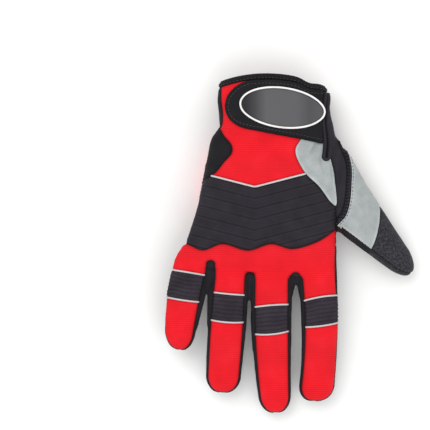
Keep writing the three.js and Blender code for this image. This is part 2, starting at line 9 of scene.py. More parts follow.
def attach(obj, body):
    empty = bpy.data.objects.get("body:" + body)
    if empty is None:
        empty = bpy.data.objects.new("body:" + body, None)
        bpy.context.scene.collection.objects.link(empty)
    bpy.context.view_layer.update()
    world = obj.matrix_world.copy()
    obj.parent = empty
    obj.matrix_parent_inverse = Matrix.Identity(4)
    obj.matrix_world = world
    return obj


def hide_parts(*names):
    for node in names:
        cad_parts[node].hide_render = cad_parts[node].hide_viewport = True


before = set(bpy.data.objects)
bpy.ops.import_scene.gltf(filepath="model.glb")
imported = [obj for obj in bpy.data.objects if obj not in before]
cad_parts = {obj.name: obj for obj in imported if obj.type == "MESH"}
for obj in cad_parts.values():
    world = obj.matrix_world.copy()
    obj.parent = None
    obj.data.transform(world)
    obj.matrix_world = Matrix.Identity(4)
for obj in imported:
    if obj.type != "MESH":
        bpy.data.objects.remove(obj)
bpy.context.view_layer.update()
millimetre = 0.001


def say(stage):
    print("glove:", stage)


# The form of the hand
hand = {
    "palmWidth": 110,
    "length": 145,  # cuff edge to the line of the finger roots
    "cuffReach": 85,  # cuff edge to the centre of the puck
    "backHeight": 17,
    "palmDepth": 7,
    "palmFlat": 6.3,  # the palm is pressed flat at this depth
    "flatFrom": 0.12,  # the palm turns flat between these shares of the length
    "flatTo": 0.25,
    "knuckleSlant": 0.1,
    "cuffArch": 0.0048,
    "cuffCrest": 3,
    "cuffDip": 2.2,  # the edge sags here, beside the slit
    "cuffDipAt": 34,
    "cuffDipReach": 6,
    "rounding": 2.7,
    "sides": 96,
    "step": 2.0,  # between two rings
    "pastCuff": 0.06,  # the form runs on past the cuff and is cut there
}
# Along is a share of the length, left and right are shares of the palm's width, top and bottom of the depths
handColumns = ("along", "left", "right", "top", "bottom")
handRows = [
    (0.0, -0.275, 0.42, 0.86, 1.72),
    (0.09, -0.291, 0.437, 0.82, 1.45),
    (0.21, -0.281, 0.455, 0.79, 1.15),
    (0.27, -0.283, 0.47, 0.83, 1.05),
    (0.32, -0.327, 0.482, 0.88, 1.0),
    (0.41, -0.354, 0.486, 0.96, 1.0),
    (0.5, -0.374, 0.484, 1.0, 1.0),
    (0.62, -0.404, 0.48, 1.0, 1.0),
    (0.8, -0.47, 0.486, 0.88, 1.0),
    (0.88, -0.505, 0.488, 0.76, 1.0),
    (0.94, -0.555, 0.48, 0.62, 0.98),
    (1.0, -0.5, 0.44, 0.4, 0.7),
]
fingerForm = {
    "width": 27, "rise": 8.2, "start": -0.16, "round": 0.47, "rootTaper": 2, "depthTaper": 0.1, "blunt": 0.78,
    "rounding": 2.35, "sides": 64, "step": 1.6, "tipRings": 14,
}
# across, along: place of the root. lean: degrees. bow: sideways, a share of the length.
# root, middle, tip: shares of the width. band: end of the knuckle band. slant, sag: of the band's two edges.
fingers = {
    "index": {
        "length": 96.8, "across": 0.357, "along": 0.966, "lean": 0.3, "bow": 0.028, "root": 1.06,
        "middle": 0.965, "tip": 0.95, "thickness": 1.0, "band": 0.422,
        "upperSlant": -0.17, "upperSag": -1.2, "lowerSlant": -0.13, "lowerSag": 0.7,
    },
    "middle": {
        "length": 105.4, "across": 0.064, "along": 0.966, "lean": -1.8, "bow": -0.014, "root": 1.11,
        "middle": 1.04, "tip": 0.89, "thickness": 1.02, "band": 0.441,
        "upperSlant": -0.05, "upperSag": -0.7, "lowerSlant": -0.06, "lowerSag": 1.3,
    },
    "ring": {
        "length": 90.8, "across": -0.202, "along": 0.966, "lean": 4.0, "bow": 0, "root": 0.98,
        "middle": 1.015, "tip": 0.945, "thickness": 0.98, "band": 0.42,
        "upperSlant": 0.02, "upperSag": 0.2, "lowerSlant": 0.0, "lowerSag": 1.0,
    },
    "little": {
        "length": 65, "across": -0.45, "along": 0.931, "lean": 9.2, "bow": -0.03, "root": 0.97,
        "middle": 0.92, "tip": 0.79, "thickness": 0.9, "band": 0.435,
        "upperSlant": 0.0, "upperSag": -0.2, "lowerSlant": -0.02, "lowerSag": 0.4,
    },
}
for finger in fingers.values():
    finger.update(fingerForm)
thumb = {
    **fingerForm, "length": 114, "across": 0.272, "along": 0.4235, "lean": -43.8, "bow": 0, "root": 1.56,
    "middle": 0.965, "tip": 0.57, "thickness": 1.0, "width": 37, "rise": 9.5, "start": 0, "round": 0.4,
    "blunt": 0.8,
}
middleShare, tipShare = 0.5, 0.86  # where the middle and tip widths of a finger are measured

# Cloth that bulges between the fingers and beside the thumb, with its sizes at its two ends
webForm = {"rounding": 2.0, "sides": 20, "rings": 16}
webColumns = ("ends", "half", "high", "deep")
webs = [
    (((-36.8, -48), (-39.4, -71.5)), (3.4, 1.3), (4, 1.5), (5, 3)),
    (((-40.5, -66), (-48.2, -101)), (1.8, 1.2), (3, 2), (3, 2)),
    (((-36.6, -66), (-37.9, -99)), (2.2, 2.2), (3, 2), (3, 2)),
    (((-9.1, -56), (-8.7, -78.5)), (2.8, 0.8), (4, 1.5), (5, 3)),
    (((-6.6, -82), (-5.5, -118)), (1.9, 1.3), (3, 2), (3, 2)),
    (((23.9, -56), (24.6, -66.5)), (4.0, 2.2), (4, 2.5), (5, 3)),
    (((20.7, -60), (20.6, -78)), (5.0, 0.6), (4, 2), (4, 2)),
    (((28.6, -60), (28.7, -80)), (5.0, 0.6), (4, 2), (4, 2)),
    (((51.4, -38), (52.7, -76)), (2.0, 2.0), (5, 4), (4, 3)),
    (((56.2, 31.5), (78.5, -7.5)), (4.2, 3.2), (5.5, 5.5), (5, 4)),
]

# How it lies: each end drops below the palm, from its start outwards
lying = {
    "seamPlane": 23.6,
    "fingerDrop": 15.2, "fingerStart": 46, "fingerRun": 119,
    "thumbDrop": 14.5, "thumbStart": 40, "thumbRun": 70,
    "cuffDrop": 7.5, "cuffStart": 38, "cuffRun": 47,
}


def spot(across, along):
    return np.array([across * hand["palmWidth"], hand["cuffReach"] - along * hand["length"]])


def curveThrough(at, places, values):
    places, values = np.array(places, float), np.array(values, float)
    slopes = np.gradient(values, places)
    at = np.clip(at, places[0], places[-1])
    i = np.clip(np.searchsorted(places, at, side="right") - 1, 0, len(places) - 2)
    span = places[i + 1] - places[i]
    t = (at - places[i]) / span
    rising = t * t * (3 - 2 * t)
    bends = (t**3 - 2 * t**2 + t) * slopes[i] + (t**3 - t**2) * slopes[i + 1]
    return values[i] * (1 - rising) + values[i + 1] * rising + bends * span


def ringOf(centre, right, half, top, bottom, flat, form):
    angle = np.arange(form["sides"]) * 2 * math.pi / form["sides"]
    cosine, sine = np.cos(angle), np.sin(angle)
    power = 2 / form["rounding"]
    across = np.sign(cosine) * np.abs(cosine) ** power * half
    up = np.abs(sine) ** power
    height = np.where(sine >= 0, up * top, np.maximum(-up * bottom, -flat))
    return np.column_stack([centre[0] + right[0] * across, centre[1] + right[1] * across, height])


def handRings():
    columns = dict(zip(handColumns, zip(*handRows)))
    places = columns.pop("along")
    rings = []
    for along in np.arange(-hand["pastCuff"], 1, hand["step"] / hand["length"]):
        left, right, top, bottom = (float(curveThrough(along, places, column)) for column in columns.values())
        left, right = left * hand["palmWidth"], right * hand["palmWidth"]
        depth = bottom * hand["palmDepth"]
        flat = np.interp(along, (hand["flatFrom"], hand["flatTo"]), (depth, hand["palmFlat"]))
        centre = [(left + right) / 2, hand["cuffReach"] - along * hand["length"]]
        ring = ringOf(centre, (1, 0), (right - left) / 2, top * hand["backHeight"], depth, flat, hand)
        arch = hand["cuffArch"] * np.clip(1 - along / hand["flatTo"], 0, 1)
        slant = hand["knuckleSlant"] * max(along, 0) ** 2
        ring[:, 1] -= slant * ring[:, 0] + arch * (ring[:, 0] - hand["cuffCrest"]) ** 2
        rings.append(ring)
    return rings


def fingerLine(finger, share):
    share = np.atleast_1d(np.asarray(share, float))
    lean = math.radians(finger["lean"])
    along = np.array([-math.sin(lean), -math.cos(lean)])
    right = np.array([-along[1], along[0]])
    bow = finger["bow"] * finger["length"] * np.maximum(0, 4 * share * (1 - share))
    root = spot(finger["across"], finger["along"])
    return root + np.outer(share * finger["length"], along) + np.outer(bow, right), right, along


def halfWidth(finger, share):
    share = np.asarray(share, float)
    t = np.maximum(share, 0)
    root = finger["root"] * (t - middleShare) * (t - tipShare) / (middleShare * tipShare)
    middle = finger["middle"] * t * (t - tipShare) / (middleShare * (middleShare - tipShare))
    tip = finger["tip"] * t * (t - middleShare) / (tipShare * (tipShare - middleShare))
    buried = 1 + finger["rootTaper"] * np.minimum(share, 0)
    return buried * (root + middle + tip) * finger["width"] / 2


def roundStart(finger):
    return 1 - finger["round"] * finger["width"] / finger["length"]


def fingerRings(finger):
    rounded = roundStart(finger)
    shares = list(np.arange(finger["start"], rounded, finger["step"] / finger["length"]))
    rounds = [1.0] * len(shares)
    for angle in np.linspace(0, math.pi / 2, finger["tipRings"])[:-1]:
        shares.append(rounded + (1 - rounded) * math.sin(angle))
        rounds.append(math.cos(angle) ** finger["blunt"])
    points, right, _ = fingerLine(finger, shares)
    rings = []
    for share, point, narrowing in zip(shares, points, rounds):
        taper = finger["thickness"] * (1 - finger["depthTaper"] * max(share, 0)) * narrowing
        half = float(halfWidth(finger, share)) * narrowing
        bottom = hand["palmFlat"] * taper
        rings.append(ringOf(point, right, half, finger["rise"] * taper, bottom, bottom, finger))
    return rings


def webRings(row):
    web = dict(zip(webColumns, row))
    start, end = np.array(web["ends"], float)
    along = (end - start) / np.linalg.norm(end - start)
    right = np.array([-along[1], along[0]])
    rings = []
    for share in np.linspace(0.005, 0.995, webForm["rings"]):
        blunt = math.sqrt(1 - abs(2 * share - 1) ** 6)
        half, high, deep = (float(np.interp(share, (0, 1), web[size])) * blunt for size in webColumns[1:])
        rings.append(ringOf(start + (end - start) * share, right, half, high, deep, deep, webForm))
    return rings


def loft(rings, closed=False):
    sides = len(rings[0])
    points = np.concatenate(rings)
    faces = []
    for row in range(len(rings) if closed else len(rings) - 1):
        here, there = row * sides, (row + 1) % len(rings) * sides
        for side in range(sides):
            beside = (side + 1) % sides
            faces.append((here + side, here + beside, there + beside, there + side))
    if closed:
        return points, faces
    last = (len(rings) - 1) * sides
    for side in range(sides):
        faces.append((len(points), (side + 1) % sides, side))
        faces.append((len(points) + 1, last + side, last + (side + 1) % sides))
    return np.concatenate([points, [rings[0].mean(axis=0)], [rings[-1].mean(axis=0)]]), faces


def trianglesOf(points, faces):
    tris = []
    for face in faces:
        tris.append(face[:3])
        if len(face) == 4:
            tris.append((face[0], face[2], face[3]))
    return points, np.array(tris)


# One skin over the whole hand
skin = {
    "voxel": 0.85,  # grid of the remesh that joins hand, fingers and thumb
    "smoothing": 10,
    "creaseHeight": 0.3,  # soft unevenness of worn cloth
    "creaseSize": 17,
    "creaseSeed": 3.1,
    "wrinkleHeight": 0.12,
    "wrinkleSize": 6.5,
    "wrinkleSeed": 9.7,
}
# Soft folds: x and y of the middle, turn in degrees, half length, half width, height. side: 1 back, -1 palm.
foldColumns = ("x", "y", "turn", "long", "wide", "high", "side")
folds = [
    (34, 31, 55, 6, 2.4, 1.5, 1),
    (38.5, 33, 65, 6, 1.9, -1.7, 1),
    (44, 18, 108, 7, 1.8, -1.7, 1),
    (47.5, 12, 100, 12, 2.2, 1.3, 1),
    (38, 14, 125, 9, 3.0, -0.9, 1),
    (-12, 38, -12, 16, 2.6, 0.5, 1),
    (-26, 60, 80, 10, 2.2, -0.5, 1),
    (57, 12, 84, 30, 2.2, -0.9, 1),
    (53, 20, 84, 32, 2.0, 0.7, 1),
    (52, 50, 105, 14, 2.0, -0.6, 1),
    (-37, -41, 90, 9, 4.5, -0.8, 1),
    (-9, -48, 90, 10, 4.5, -0.9, 1),
    (23, -48, 90, 10, 4.5, -0.9, 1),
    (72, 2, 50, 10, 3.0, -0.5, 1),
    (84, -30, 35, 11, 3.0, -0.5, 1),
    (96, -40, 60, 8, 2.6, 0.4, 1),
    (-48, 0, 20, 9, 2.2, -0.7, -1),
    (-46, -22, -15, 10, 2.4, -0.8, -1),
    (0, 52, 4, 34, 2.4, -0.9, -1),
    (8, 46, -6, 30, 2.4, -0.7, -1),
    (62, 4, 60, 14, 3.0, -0.9, -1),
    (78, -22, 50, 9, 2.5, -0.7, -1),
]


def hump(distance, width):
    return np.exp(-((distance / width) ** 2))


def droop(points):
    def bend(distance, run):
        return (np.maximum(0, distance) / run) ** 2

    x, y = points[:, 0], points[:, 1]
    fingerPart = lying["fingerDrop"] * bend(-y - lying["fingerStart"], lying["fingerRun"])
    thumbPart = lying["thumbDrop"] * bend(x - lying["thumbStart"], lying["thumbRun"])
    return fingerPart + thumbPart + lying["cuffDrop"] * bend(y - lying["cuffStart"], lying["cuffRun"])


def laid(points):
    placed = points.copy()
    placed[:, 2] += lying["seamPlane"] - droop(points)
    return placed


def edgesOf(tris):
    edges = np.sort(np.concatenate([tris[:, [0, 1]], tris[:, [1, 2]], tris[:, [2, 0]]]), axis=1)
    return np.unique(edges, axis=0)


def smoothed(points, tris, rounds):
    edges = edgesOf(tris)
    ends = np.concatenate([edges[:, 0], edges[:, 1]])
    others = np.concatenate([edges[:, 1], edges[:, 0]])
    count = np.bincount(ends, minlength=len(points))[:, None]
    for _ in range(rounds):
        for pull in (0.5, -0.52):  # out and back again, so that the form doesn't shrink
            sums = [np.bincount(ends, points[others, k], len(points)) for k in range(3)]
            points = points + pull * (np.column_stack(sums) / count - points)
    return points


def normalsOf(points, tris):
    a, b, c = (points[tris[:, k]] for k in range(3))
    face = np.cross(b - a, c - a)
    normals = np.zeros((len(points), 3))
    for k in range(3):
        normals[:, k] = sum(np.bincount(tris[:, corner], face[:, k], len(points)) for corner in range(3))
    return normals / np.maximum(np.linalg.norm(normals, axis=1), 1e-9)[:, None]


def foldLift(points, normals):
    lift = np.zeros(len(points))
    for row in folds:
        fold = dict(zip(foldColumns, row))
        turn = math.radians(fold["turn"])
        dx, dy = points[:, 0] - fold["x"], points[:, 1] - fold["y"]
        s = (dx * math.cos(turn) + dy * math.sin(turn)) / fold["long"]
        t = (dy * math.cos(turn) - dx * math.sin(turn)) / fold["wide"]
        facing = np.clip(normals[:, 2] * fold["side"] * 2, 0, 1)
        lift += fold["high"] * np.exp(-(s**4) - t**2) * facing
    return lift


def unevenLift(points):
    def rough(kind):
        size, seed = skin[f"{kind}Size"], Vector((skin[f"{kind}Seed"], 0, 0))
        return np.array([noise.noise(Vector(p) / size + seed) * skin[f"{kind}Height"] for p in points])

    return rough("crease") + rough("wrinkle")


def gloveSkin():
    points, faces = [], []
    forms = [handRings(), *map(fingerRings, [*fingers.values(), thumb]), *map(webRings, webs)]
    for rings in forms:
        more, moreFaces = loft(rings)
        start = sum(len(p) for p in points)
        points.append(more)
        faces.extend(tuple(start + corner for corner in face) for face in moreFaces)
    mesh = bpy.data.meshes.new("form")
    mesh.from_pydata(np.concatenate(points).tolist(), [], faces)
    form = bpy.data.objects.new("form", mesh)
    bpy.context.scene.collection.objects.link(form)
    remesh = form.modifiers.new("join", "REMESH")
    remesh.mode = "VOXEL"
    remesh.voxel_size = skin["voxel"]
    joined = form.evaluated_get(bpy.context.evaluated_depsgraph_get()).to_mesh()
    joined.calc_loop_triangles()
    flat = np.zeros(len(joined.vertices) * 3)
    joined.vertices.foreach_get("co", flat)
    tris = np.zeros(len(joined.loop_triangles) * 3, int)
    joined.loop_triangles.foreach_get("vertices", tris)
    bpy.data.objects.remove(form)
    tris = tris.reshape(-1, 3)
    flat = smoothed(flat.reshape(-1, 3), tris, skin["smoothing"])
    normals = normalsOf(flat, tris)
    lift = foldLift(flat, normals) + unevenLift(flat)
    return {"flat": flat, "normal": normals, "lift": lift, "tris": tris}


# Cutting cloth


def tidied(cloth, tris):
    used, fresh = np.unique(tris, return_inverse=True)
    piece = {name: values[used] for name, values in cloth.items() if name != "tris"}
    piece["tris"] = fresh.reshape(-1, 3)
    return piece


def partLabels(tris, count):
    labels = np.arange(count)
    while True:
        lowest = labels[tris].min(axis=1)
        fresh = labels.copy()
        for corner in range(3):
            np.minimum.at(fresh, tris[:, corner], lowest)
        fresh = fresh[fresh]
        if np.array_equal(fresh, labels):
            return labels[tris[:, 0]]
        labels = fresh


def cutAlong(cloth, field):
    # Splits the cloth's triangles where the field is 0: inside is above 0. Crumbs stay with the rest.
    tris, count = cloth["tris"], len(cloth["flat"])
    positive = field >= 0
    share = positive[tris].sum(axis=1)
    inner, outer = tris[share == 3], tris[share == 0]
    mixed = tris[(share == 1) | (share == 2)]
    loneIsIn = positive[mixed].sum(axis=1) == 1
    lone = (positive[mixed] == loneIsIn[:, None]).argmax(axis=1)
    rows = np.arange(len(mixed))
    a, b, c = (mixed[rows, (lone + turn) % 3] for turn in range(3))
    pairs = np.sort(np.concatenate([np.column_stack([a, b]), np.column_stack([a, c])]), axis=1)
    keys, where = np.unique(pairs[:, 0] * count + pairs[:, 1], return_inverse=True)
    low, high = keys // count, keys % count
    t = np.clip(field[low] / (field[low] - field[high]), 0.04, 0.96)  # no slivers
    both = {}
    for name, values in cloth.items():
        if name != "tris":
            weight = t[:, None] if values.ndim > 1 else t
            both[name] = np.concatenate([values, values[low] + (values[high] - values[low]) * weight])
    ab, ac = count + where[: len(a)], count + where[len(a) :]
    tipOf = np.column_stack([a, ab, ac])
    restOf = [np.column_stack([ab, b, c]), np.column_stack([ab, c, ac])]
    inner = np.concatenate([inner, tipOf[loneIsIn], *[part[~loneIsIn] for part in restOf]])
    outer = np.concatenate([outer, tipOf[~loneIsIn], *[part[loneIsIn] for part in restOf]])
    labels = partLabels(inner, len(both["flat"]))
    names, sizes = np.unique(labels, return_counts=True)
    main = labels == names[sizes.argmax()]
    return tidied(both, inner[main]), tidied(both, np.concatenate([outer, inner[~main]]))


def refined(cloth, times=1):
    for _ in range(times):
        tris, count = cloth["tris"], len(cloth["flat"])
        pairs = np.sort(np.concatenate([tris[:, [0, 1]], tris[:, [1, 2]], tris[:, [2, 0]]]), axis=1)
        keys, where = np.unique(pairs[:, 0] * count + pairs[:, 1], return_inverse=True)
        low, high = keys // count, keys % count
        finer = {n: np.concatenate([v, (v[low] + v[high]) / 2]) for n, v in cloth.items() if n != "tris"}
        ab, bc, ca = (count + part for part in np.split(where, 3))
        a, b, c = tris.T
        corners = [(a, ab, ca), (ab, b, bc), (ca, bc, c), (ab, bc, ca)]
        finer["tris"] = np.concatenate([np.column_stack(corner) for corner in corners])
        cloth = finer
    return cloth


def borderOf(tris):
    directed = np.concatenate([tris[:, [0, 1]], tris[:, [1, 2]], tris[:, [2, 0]]])
    _, first, counts = np.unique(np.sort(directed, axis=1), axis=0, return_index=True, return_counts=True)
    return directed[first[counts == 1]]


def edgeDistance(cloth):
    border = np.unique(borderOf(cloth["tris"]))
    tree = KDTree(len(border))
    for i, corner in enumerate(border):
        tree.insert(cloth["flat"][corner], i)
    tree.balance()
    return np.array([tree.find(p)[2] for p in cloth["flat"]])


def insideOf(outline, points):
    # Distance to an outline in the plane of the glove, above 0 inside it
    x, y = points[:, 0], points[:, 1]
    nearest = np.full(len(points), 1e9)
    inside = np.zeros(len(points), bool)
    for start, end in zip(outline, np.roll(outline, -1, axis=0)):
        dx, dy = end - start
        t = np.clip(((x - start[0]) * dx + (y - start[1]) * dy) / max(dx * dx + dy * dy, 1e-9), 0, 1)
        nearest = np.minimum(nearest, np.hypot(x - start[0] - t * dx, y - start[1] - t * dy))
        crosses = (start[1] > y) != (end[1] > y)
        inside ^= crosses & (x < start[0] + (y - start[1]) * dx / (dy if dy else 1e-9))
    return np.where(inside, nearest, -nearest)


def smoothLine(spots, steps, closed=False):
    through = np.array(spots, float)
    around = np.concatenate([through[-2:], through, through[:3]]) if closed else through
    lengths = np.linalg.norm(np.diff(around, axis=0), axis=1) ** 0.5
    places = np.concatenate([[0], np.cumsum(lengths)])
    first, last = (places[2], places[-3]) if closed else (places[0], places[-1])
    at = np.linspace(first, last, steps, endpoint=not closed)
    return np.column_stack([curveThrough(at, places, around[:, k]) for k in range(2)])


def ellipse(centre, halfLength, halfBreadth, tilt, steps=96):
    angle = np.arange(steps) * 2 * math.pi / steps
    x, y = np.cos(angle) * halfLength, np.sin(angle) * halfBreadth
    turn = math.radians(tilt)
    turned = [x * math.cos(turn) - y * math.sin(turn), x * math.sin(turn) + y * math.cos(turn)]
    return np.column_stack(turned) + centre


# Outlines of the panels, across the palm's width and along the hand's length from the cuff edge
panelSpots = {
    "web": [
        (0.31, 0.24), (0.252, 0.325), (0.214, 0.384), (0.272, 0.487), (0.366, 0.557), (0.478, 0.655),
        (0.474, 0.54), (0.462, 0.47), (0.425, 0.36), (0.4, 0.25),
    ],
    "saddle": [
        (0.4, -0.1), (0.4, 0.283), (0.42, 0.36), (0.45, 0.434), (0.468, 0.5), (0.476, 0.58), (0.478, 0.66),
        (0.482, 0.78),
    ],
    "grip": [
        (0.53, 0.34), (0.575, 0.41), (0.588, 0.47), (0.584, 0.55), (0.572, 0.64), (0.545, 0.705),
        (0.488, 0.755),
    ],
    "wristSide": [
        (-0.45, 0.22), (-0.285, 0.27), (-0.25, 0.31), (-0.2, 0.36), (-0.2, 0.395), (-0.25, 0.44),
        (-0.318, 0.499), (-0.5, 0.56),
    ],
    "strap": [
        (0.388, 0.35), (0.235, 0.326), (0.0, 0.292), (-0.155, 0.263), (-0.215, 0.222), (-0.238, 0.168),
        (-0.222, 0.112), (-0.17, 0.066), (-0.1, 0.038), (0.05, 0.0), (0.25, 0.0), (0.388, 0.0),
    ],
    "scallops": [
        (-0.545, 0.838), (-0.497, 0.843), (-0.393, 0.874), (-0.264, 0.844), (-0.092, 0.876), (0.059, 0.844),
        (0.196, 0.868), (0.315, 0.846), (0.38, 0.825), (0.471, 0.78), (0.545, 0.745),
    ],
}
# Where the palm's leather comes further up the glove's side
seamRises = [
    {"x": 52, "y": -50, "wide": 12, "long": 30, "high": 5.5},
    {"x": -34, "y": 62, "wide": 14, "long": 24, "high": 8.5},
    {"x": -5, "y": -132, "wide": 90, "long": 55, "high": 4.2},
]
sewing = {
    "seamHeight": -1.5,  # the back panels wrap this far round to the palm side
    "seamDepth": 0.5,  # a seam lies this deep in the cloth
    "seamRoll": 1.1,
    "wall": 1.4,
    "seamShadow": 2.2,  # how far the painted shade of a seam, with some soiling, reaches into the cloth
    "bindingWidth": 4.5,
    "gussetTipInset": 1.2,
    "crotchRadius": 3.3,
    "thumbGussetInset": 5.6,
    "thumbGussetTipInset": 3,
    "thumbPalmAcross": 0.47,
    "palmHeel": 0.26,
    "reliefFade": 1.8,  # how fast a relief fades where the cloth turns down
}
thumbPalm = {"foot": 36, "slope": 1.05}
gussets = {
    "ring_little_gusset": {"left": "little", "right": "ring", "crotch": 0.925, "inset": 2.4},
    "middle_ring_gusset": {"left": "ring", "right": "middle", "crotch": 0.985, "inset": 3.1},
    "index_middle_gusset": {"left": "middle", "right": "index", "crotch": 0.985, "inset": 3.1},
}
# slack: how much wider the cloth is than the backing that it is stitched to
# most: how far the padding may push the cloth up, in millimetres
# held: how near to its stitches the cloth stays down, in millimetres or as a share of a tuck's height
bands = {
    "length": 20, "reach": 3.2, "rise": 0.35, "piping": 1.35,
    "ribPitch": 2.9, "waver": 0.3, "waverSize": 9, "held": 0.3, "slack": 0.18, "most": 1.1,
}
chevron = {
    "apex": (-0.05, 0.558), "slope": 0.26, "rise": 0.1, "roll": 1.8, "pipingWidth": 1.4,
    "pitch": 7.5, "held": 0.5, "slack": 0.02, "most": 1.4,
    "grooveWidth": 0.6, "highlightAt": 1.15, "highlightWidth": 0.5,  # painted highlight along both edges of a groove, where the stitched edges catch the light, and painted shade in the groove
}


def panelPoints(name):
    return [spot(*place) for place in panelSpots[name]]


def chevronLine(x):
    apex = spot(*chevron["apex"])
    return apex[1] + chevron["slope"] * np.abs(x - apex[0])


def cuffLine(x):
    dip = hand["cuffDip"] * hump(x - hand["cuffDipAt"], hand["cuffDipReach"])
    return hand["cuffReach"] - hand["cuffArch"] * (x - hand["cuffCrest"]) ** 2 - dip


def padTop(points):
    # Above the middle of the piping over the pad
    return points[:, 1] - chevronLine(points[:, 0]) + chevron["pipingWidth"] / 2


def scallopLine(x):
    line = np.array(panelPoints("scallops"))
    return curveThrough(x, line[:, 0], line[:, 1])


def sideLine(finger, side, rootShare, insetAtRoot, insetAtTip, steps=40):
    shares = 1 - (1 - rootShare) * np.linspace(0, 1, steps) ** 1.6
    points, right, _ = fingerLine(finger, shares)
    rounded = roundStart(finger)
    tip = np.maximum(0, shares - rounded) / (1 - rounded)
    inset = insetAtRoot + (insetAtTip - insetAtRoot) * shares
    half = halfWidth(finger, shares) * np.maximum(0, 1 - tip**2) ** (finger["blunt"] / 2) - inset
    return points + np.outer(side * np.maximum(0, half), right)


def gussetOutline(gusset):
    start, insets = 0.08, (gusset["inset"], sewing["gussetTipInset"])
    top = hand["cuffReach"] - gusset["crotch"] * hand["length"]
    radius = sewing["crotchRadius"]
    left = sideLine(fingers[gusset["left"]], 1, start, *insets)
    right = sideLine(fingers[gusset["right"]], -1, start, *insets)
    middle = (left[-1][0] + right[-1][0]) / 2
    angle = np.radians(np.linspace(160, 20, 12))
    arc = np.column_stack([middle + np.cos(angle) * radius, top + radius * (np.sin(angle) - 1)])
    left, right = left[left[:, 1] < top - radius * 0.8], right[right[:, 1] < top - radius * 0.8]
    beyond = np.array([0, -fingerForm["width"]])
    return np.concatenate([[left[0] + beyond], left, arc, right[::-1], [right[0] + beyond]])


def fingerPlace(finger, points):
    # Across and along a finger from its root, in millimetres
    root, right, along = fingerLine(finger, 0)
    away = points[:, :2] - root[0]
    return away @ right, away @ along


def bandEdges(finger, points):
    across, along = fingerPlace(finger, points)
    bowed = across - finger["bow"] * finger["length"]
    half = finger["width"] / 2
    end = finger["band"] * finger["length"]
    arched = 0.5 - (bowed / half) ** 2
    upper = along - (end - bands["length"]) - finger["upperSlant"] * bowed - finger["upperSag"] * arched
    lower = along - end - finger["lowerSlant"] * bowed - finger["lowerSag"] * arched
    reach = half + bands["reach"] - np.abs(bowed)
    return upper, lower, reach


def backOf(points):
    # Height above the seam between back and palm
    level = np.full(len(points), float(sewing["seamHeight"]))
    for rise in seamRises:
        dx = (points[:, 0] - rise["x"]) / rise["wide"]
        dy = (points[:, 1] - rise["y"]) / rise["long"]
        level += rise["high"] * np.exp(-(dx**4) - dy**4)
    return points[:, 2] - level


def palmSide(points):
    return -backOf(points)


def webOutline():
    return smoothLine(panelPoints("web"), 90, closed=True)


def wristSideOutline():
    return smoothLine(panelPoints("wristSide"), 60)


def saddleOutline():
    line = smoothLine(panelPoints("saddle"), 60)
    far = hand["palmWidth"]
    return np.concatenate([line, [(far, line[-1][1]), (far, line[0][1])]])


def gripOutline():
    line = smoothLine(panelPoints("grip"), 50)
    tip, _, _ = fingerLine(thumb, 1.3)
    return np.concatenate([line, tip, [(hand["palmWidth"] * 1.3, line[0][1])]])


def thumbTipOutline():
    breaks = [(1.2, 0.51), (0.97, 0.536), (0.8, 0.569), (0.4, 0.623), (0, 0.666), (-0.33, 0.693), (-1, 0.73)]
    breaks += [(-1, 1.3), (1.2, 1.3)]
    points = []
    for side, share in breaks:
        point, right, _ = fingerLine(thumb, share)
        points.append(point[0] + right * side * thumb["width"] / 2)
    return np.array(points)


def thumbGussetOutline():
    inside = sideLine(thumb, -1, 0.47, sewing["thumbGussetInset"], sewing["thumbGussetTipInset"])
    return np.concatenate([inside, inside[::-1] - np.array([0, thumb["width"] / 2])])


def thumbPalmField(points):
    beyond = points[:, 0] - sewing["thumbPalmAcross"] * hand["palmWidth"]
    below = points[:, 1] + thumbPalm["foot"] + beyond * thumbPalm["slope"]
    return np.minimum(beyond, np.minimum(hand["cuffReach"] / 2 - points[:, 1], below))


def cutPanels(glove):
    panels = {}
    points = glove["flat"]
    glove, _ = cutAlong(glove, cuffLine(points[:, 0]) - points[:, 1])

    def take(name, fieldOf):
        nonlocal glove
        panels[name], glove = cutAlong(glove, fieldOf(glove["flat"]))

    def takeBack(name, fieldOf):
        take(name, lambda p: np.minimum(fieldOf(p), backOf(p)))

    for name, gusset in gussets.items():
        outline = gussetOutline(gusset)
        take(name, lambda p: insideOf(outline, p))
    take("thumb_gusset", lambda p: insideOf(thumbGussetOutline(), p))
    take("cuff_binding", lambda p: p[:, 1] - cuffLine(p[:, 0]) + sewing["bindingWidth"])
    takeBack("thumb_tip_back", lambda p: insideOf(thumbTipOutline(), p))
    takeBack("thumb_grip_patch", lambda p: insideOf(gripOutline(), p))
    takeBack("wrist_side_panel", lambda p: insideOf(wristSideOutline(), p))
    takeBack("web_patch", lambda p: insideOf(webOutline(), p))
    takeBack("thumb_saddle", lambda p: insideOf(saddleOutline(), p))
    takeBack("wrist_back_panel", padTop)
    takeBack("chevron_pad", lambda p: p[:, 1] - scallopLine(p[:, 0]))
    for name, finger in fingers.items():

        def bandField(p):
            upper, lower, reach = bandEdges(finger, p)
            return np.minimum(np.minimum(upper, -lower), reach)

        def tipField(p):
            upper, lower, reach = bandEdges(finger, p)
            return np.minimum(lower, reach)

        takeBack(f"{name}_knuckle_band", bandField)
        takeBack(f"{name}_tip_back", tipField)
    takeBack("knuckle_back_panel", lambda p: np.full(len(p), 60.0))
    for name, finger in fingers.items():

        def palmTipField(p):
            upper, lower, reach = bandEdges(finger, p)
            return np.minimum(np.minimum(lower, reach), palmSide(p) + 1)

        take(f"{name}_tip_palm", palmTipField)
    take("thumb_palm", thumbPalmField)
    heel = hand["cuffReach"] - sewing["palmHeel"] * hand["length"]
    take("wrist_palm_panel", lambda p: p[:, 1] - heel)
    panels["palm_panel"] = glove
    return panels


# Making meshes


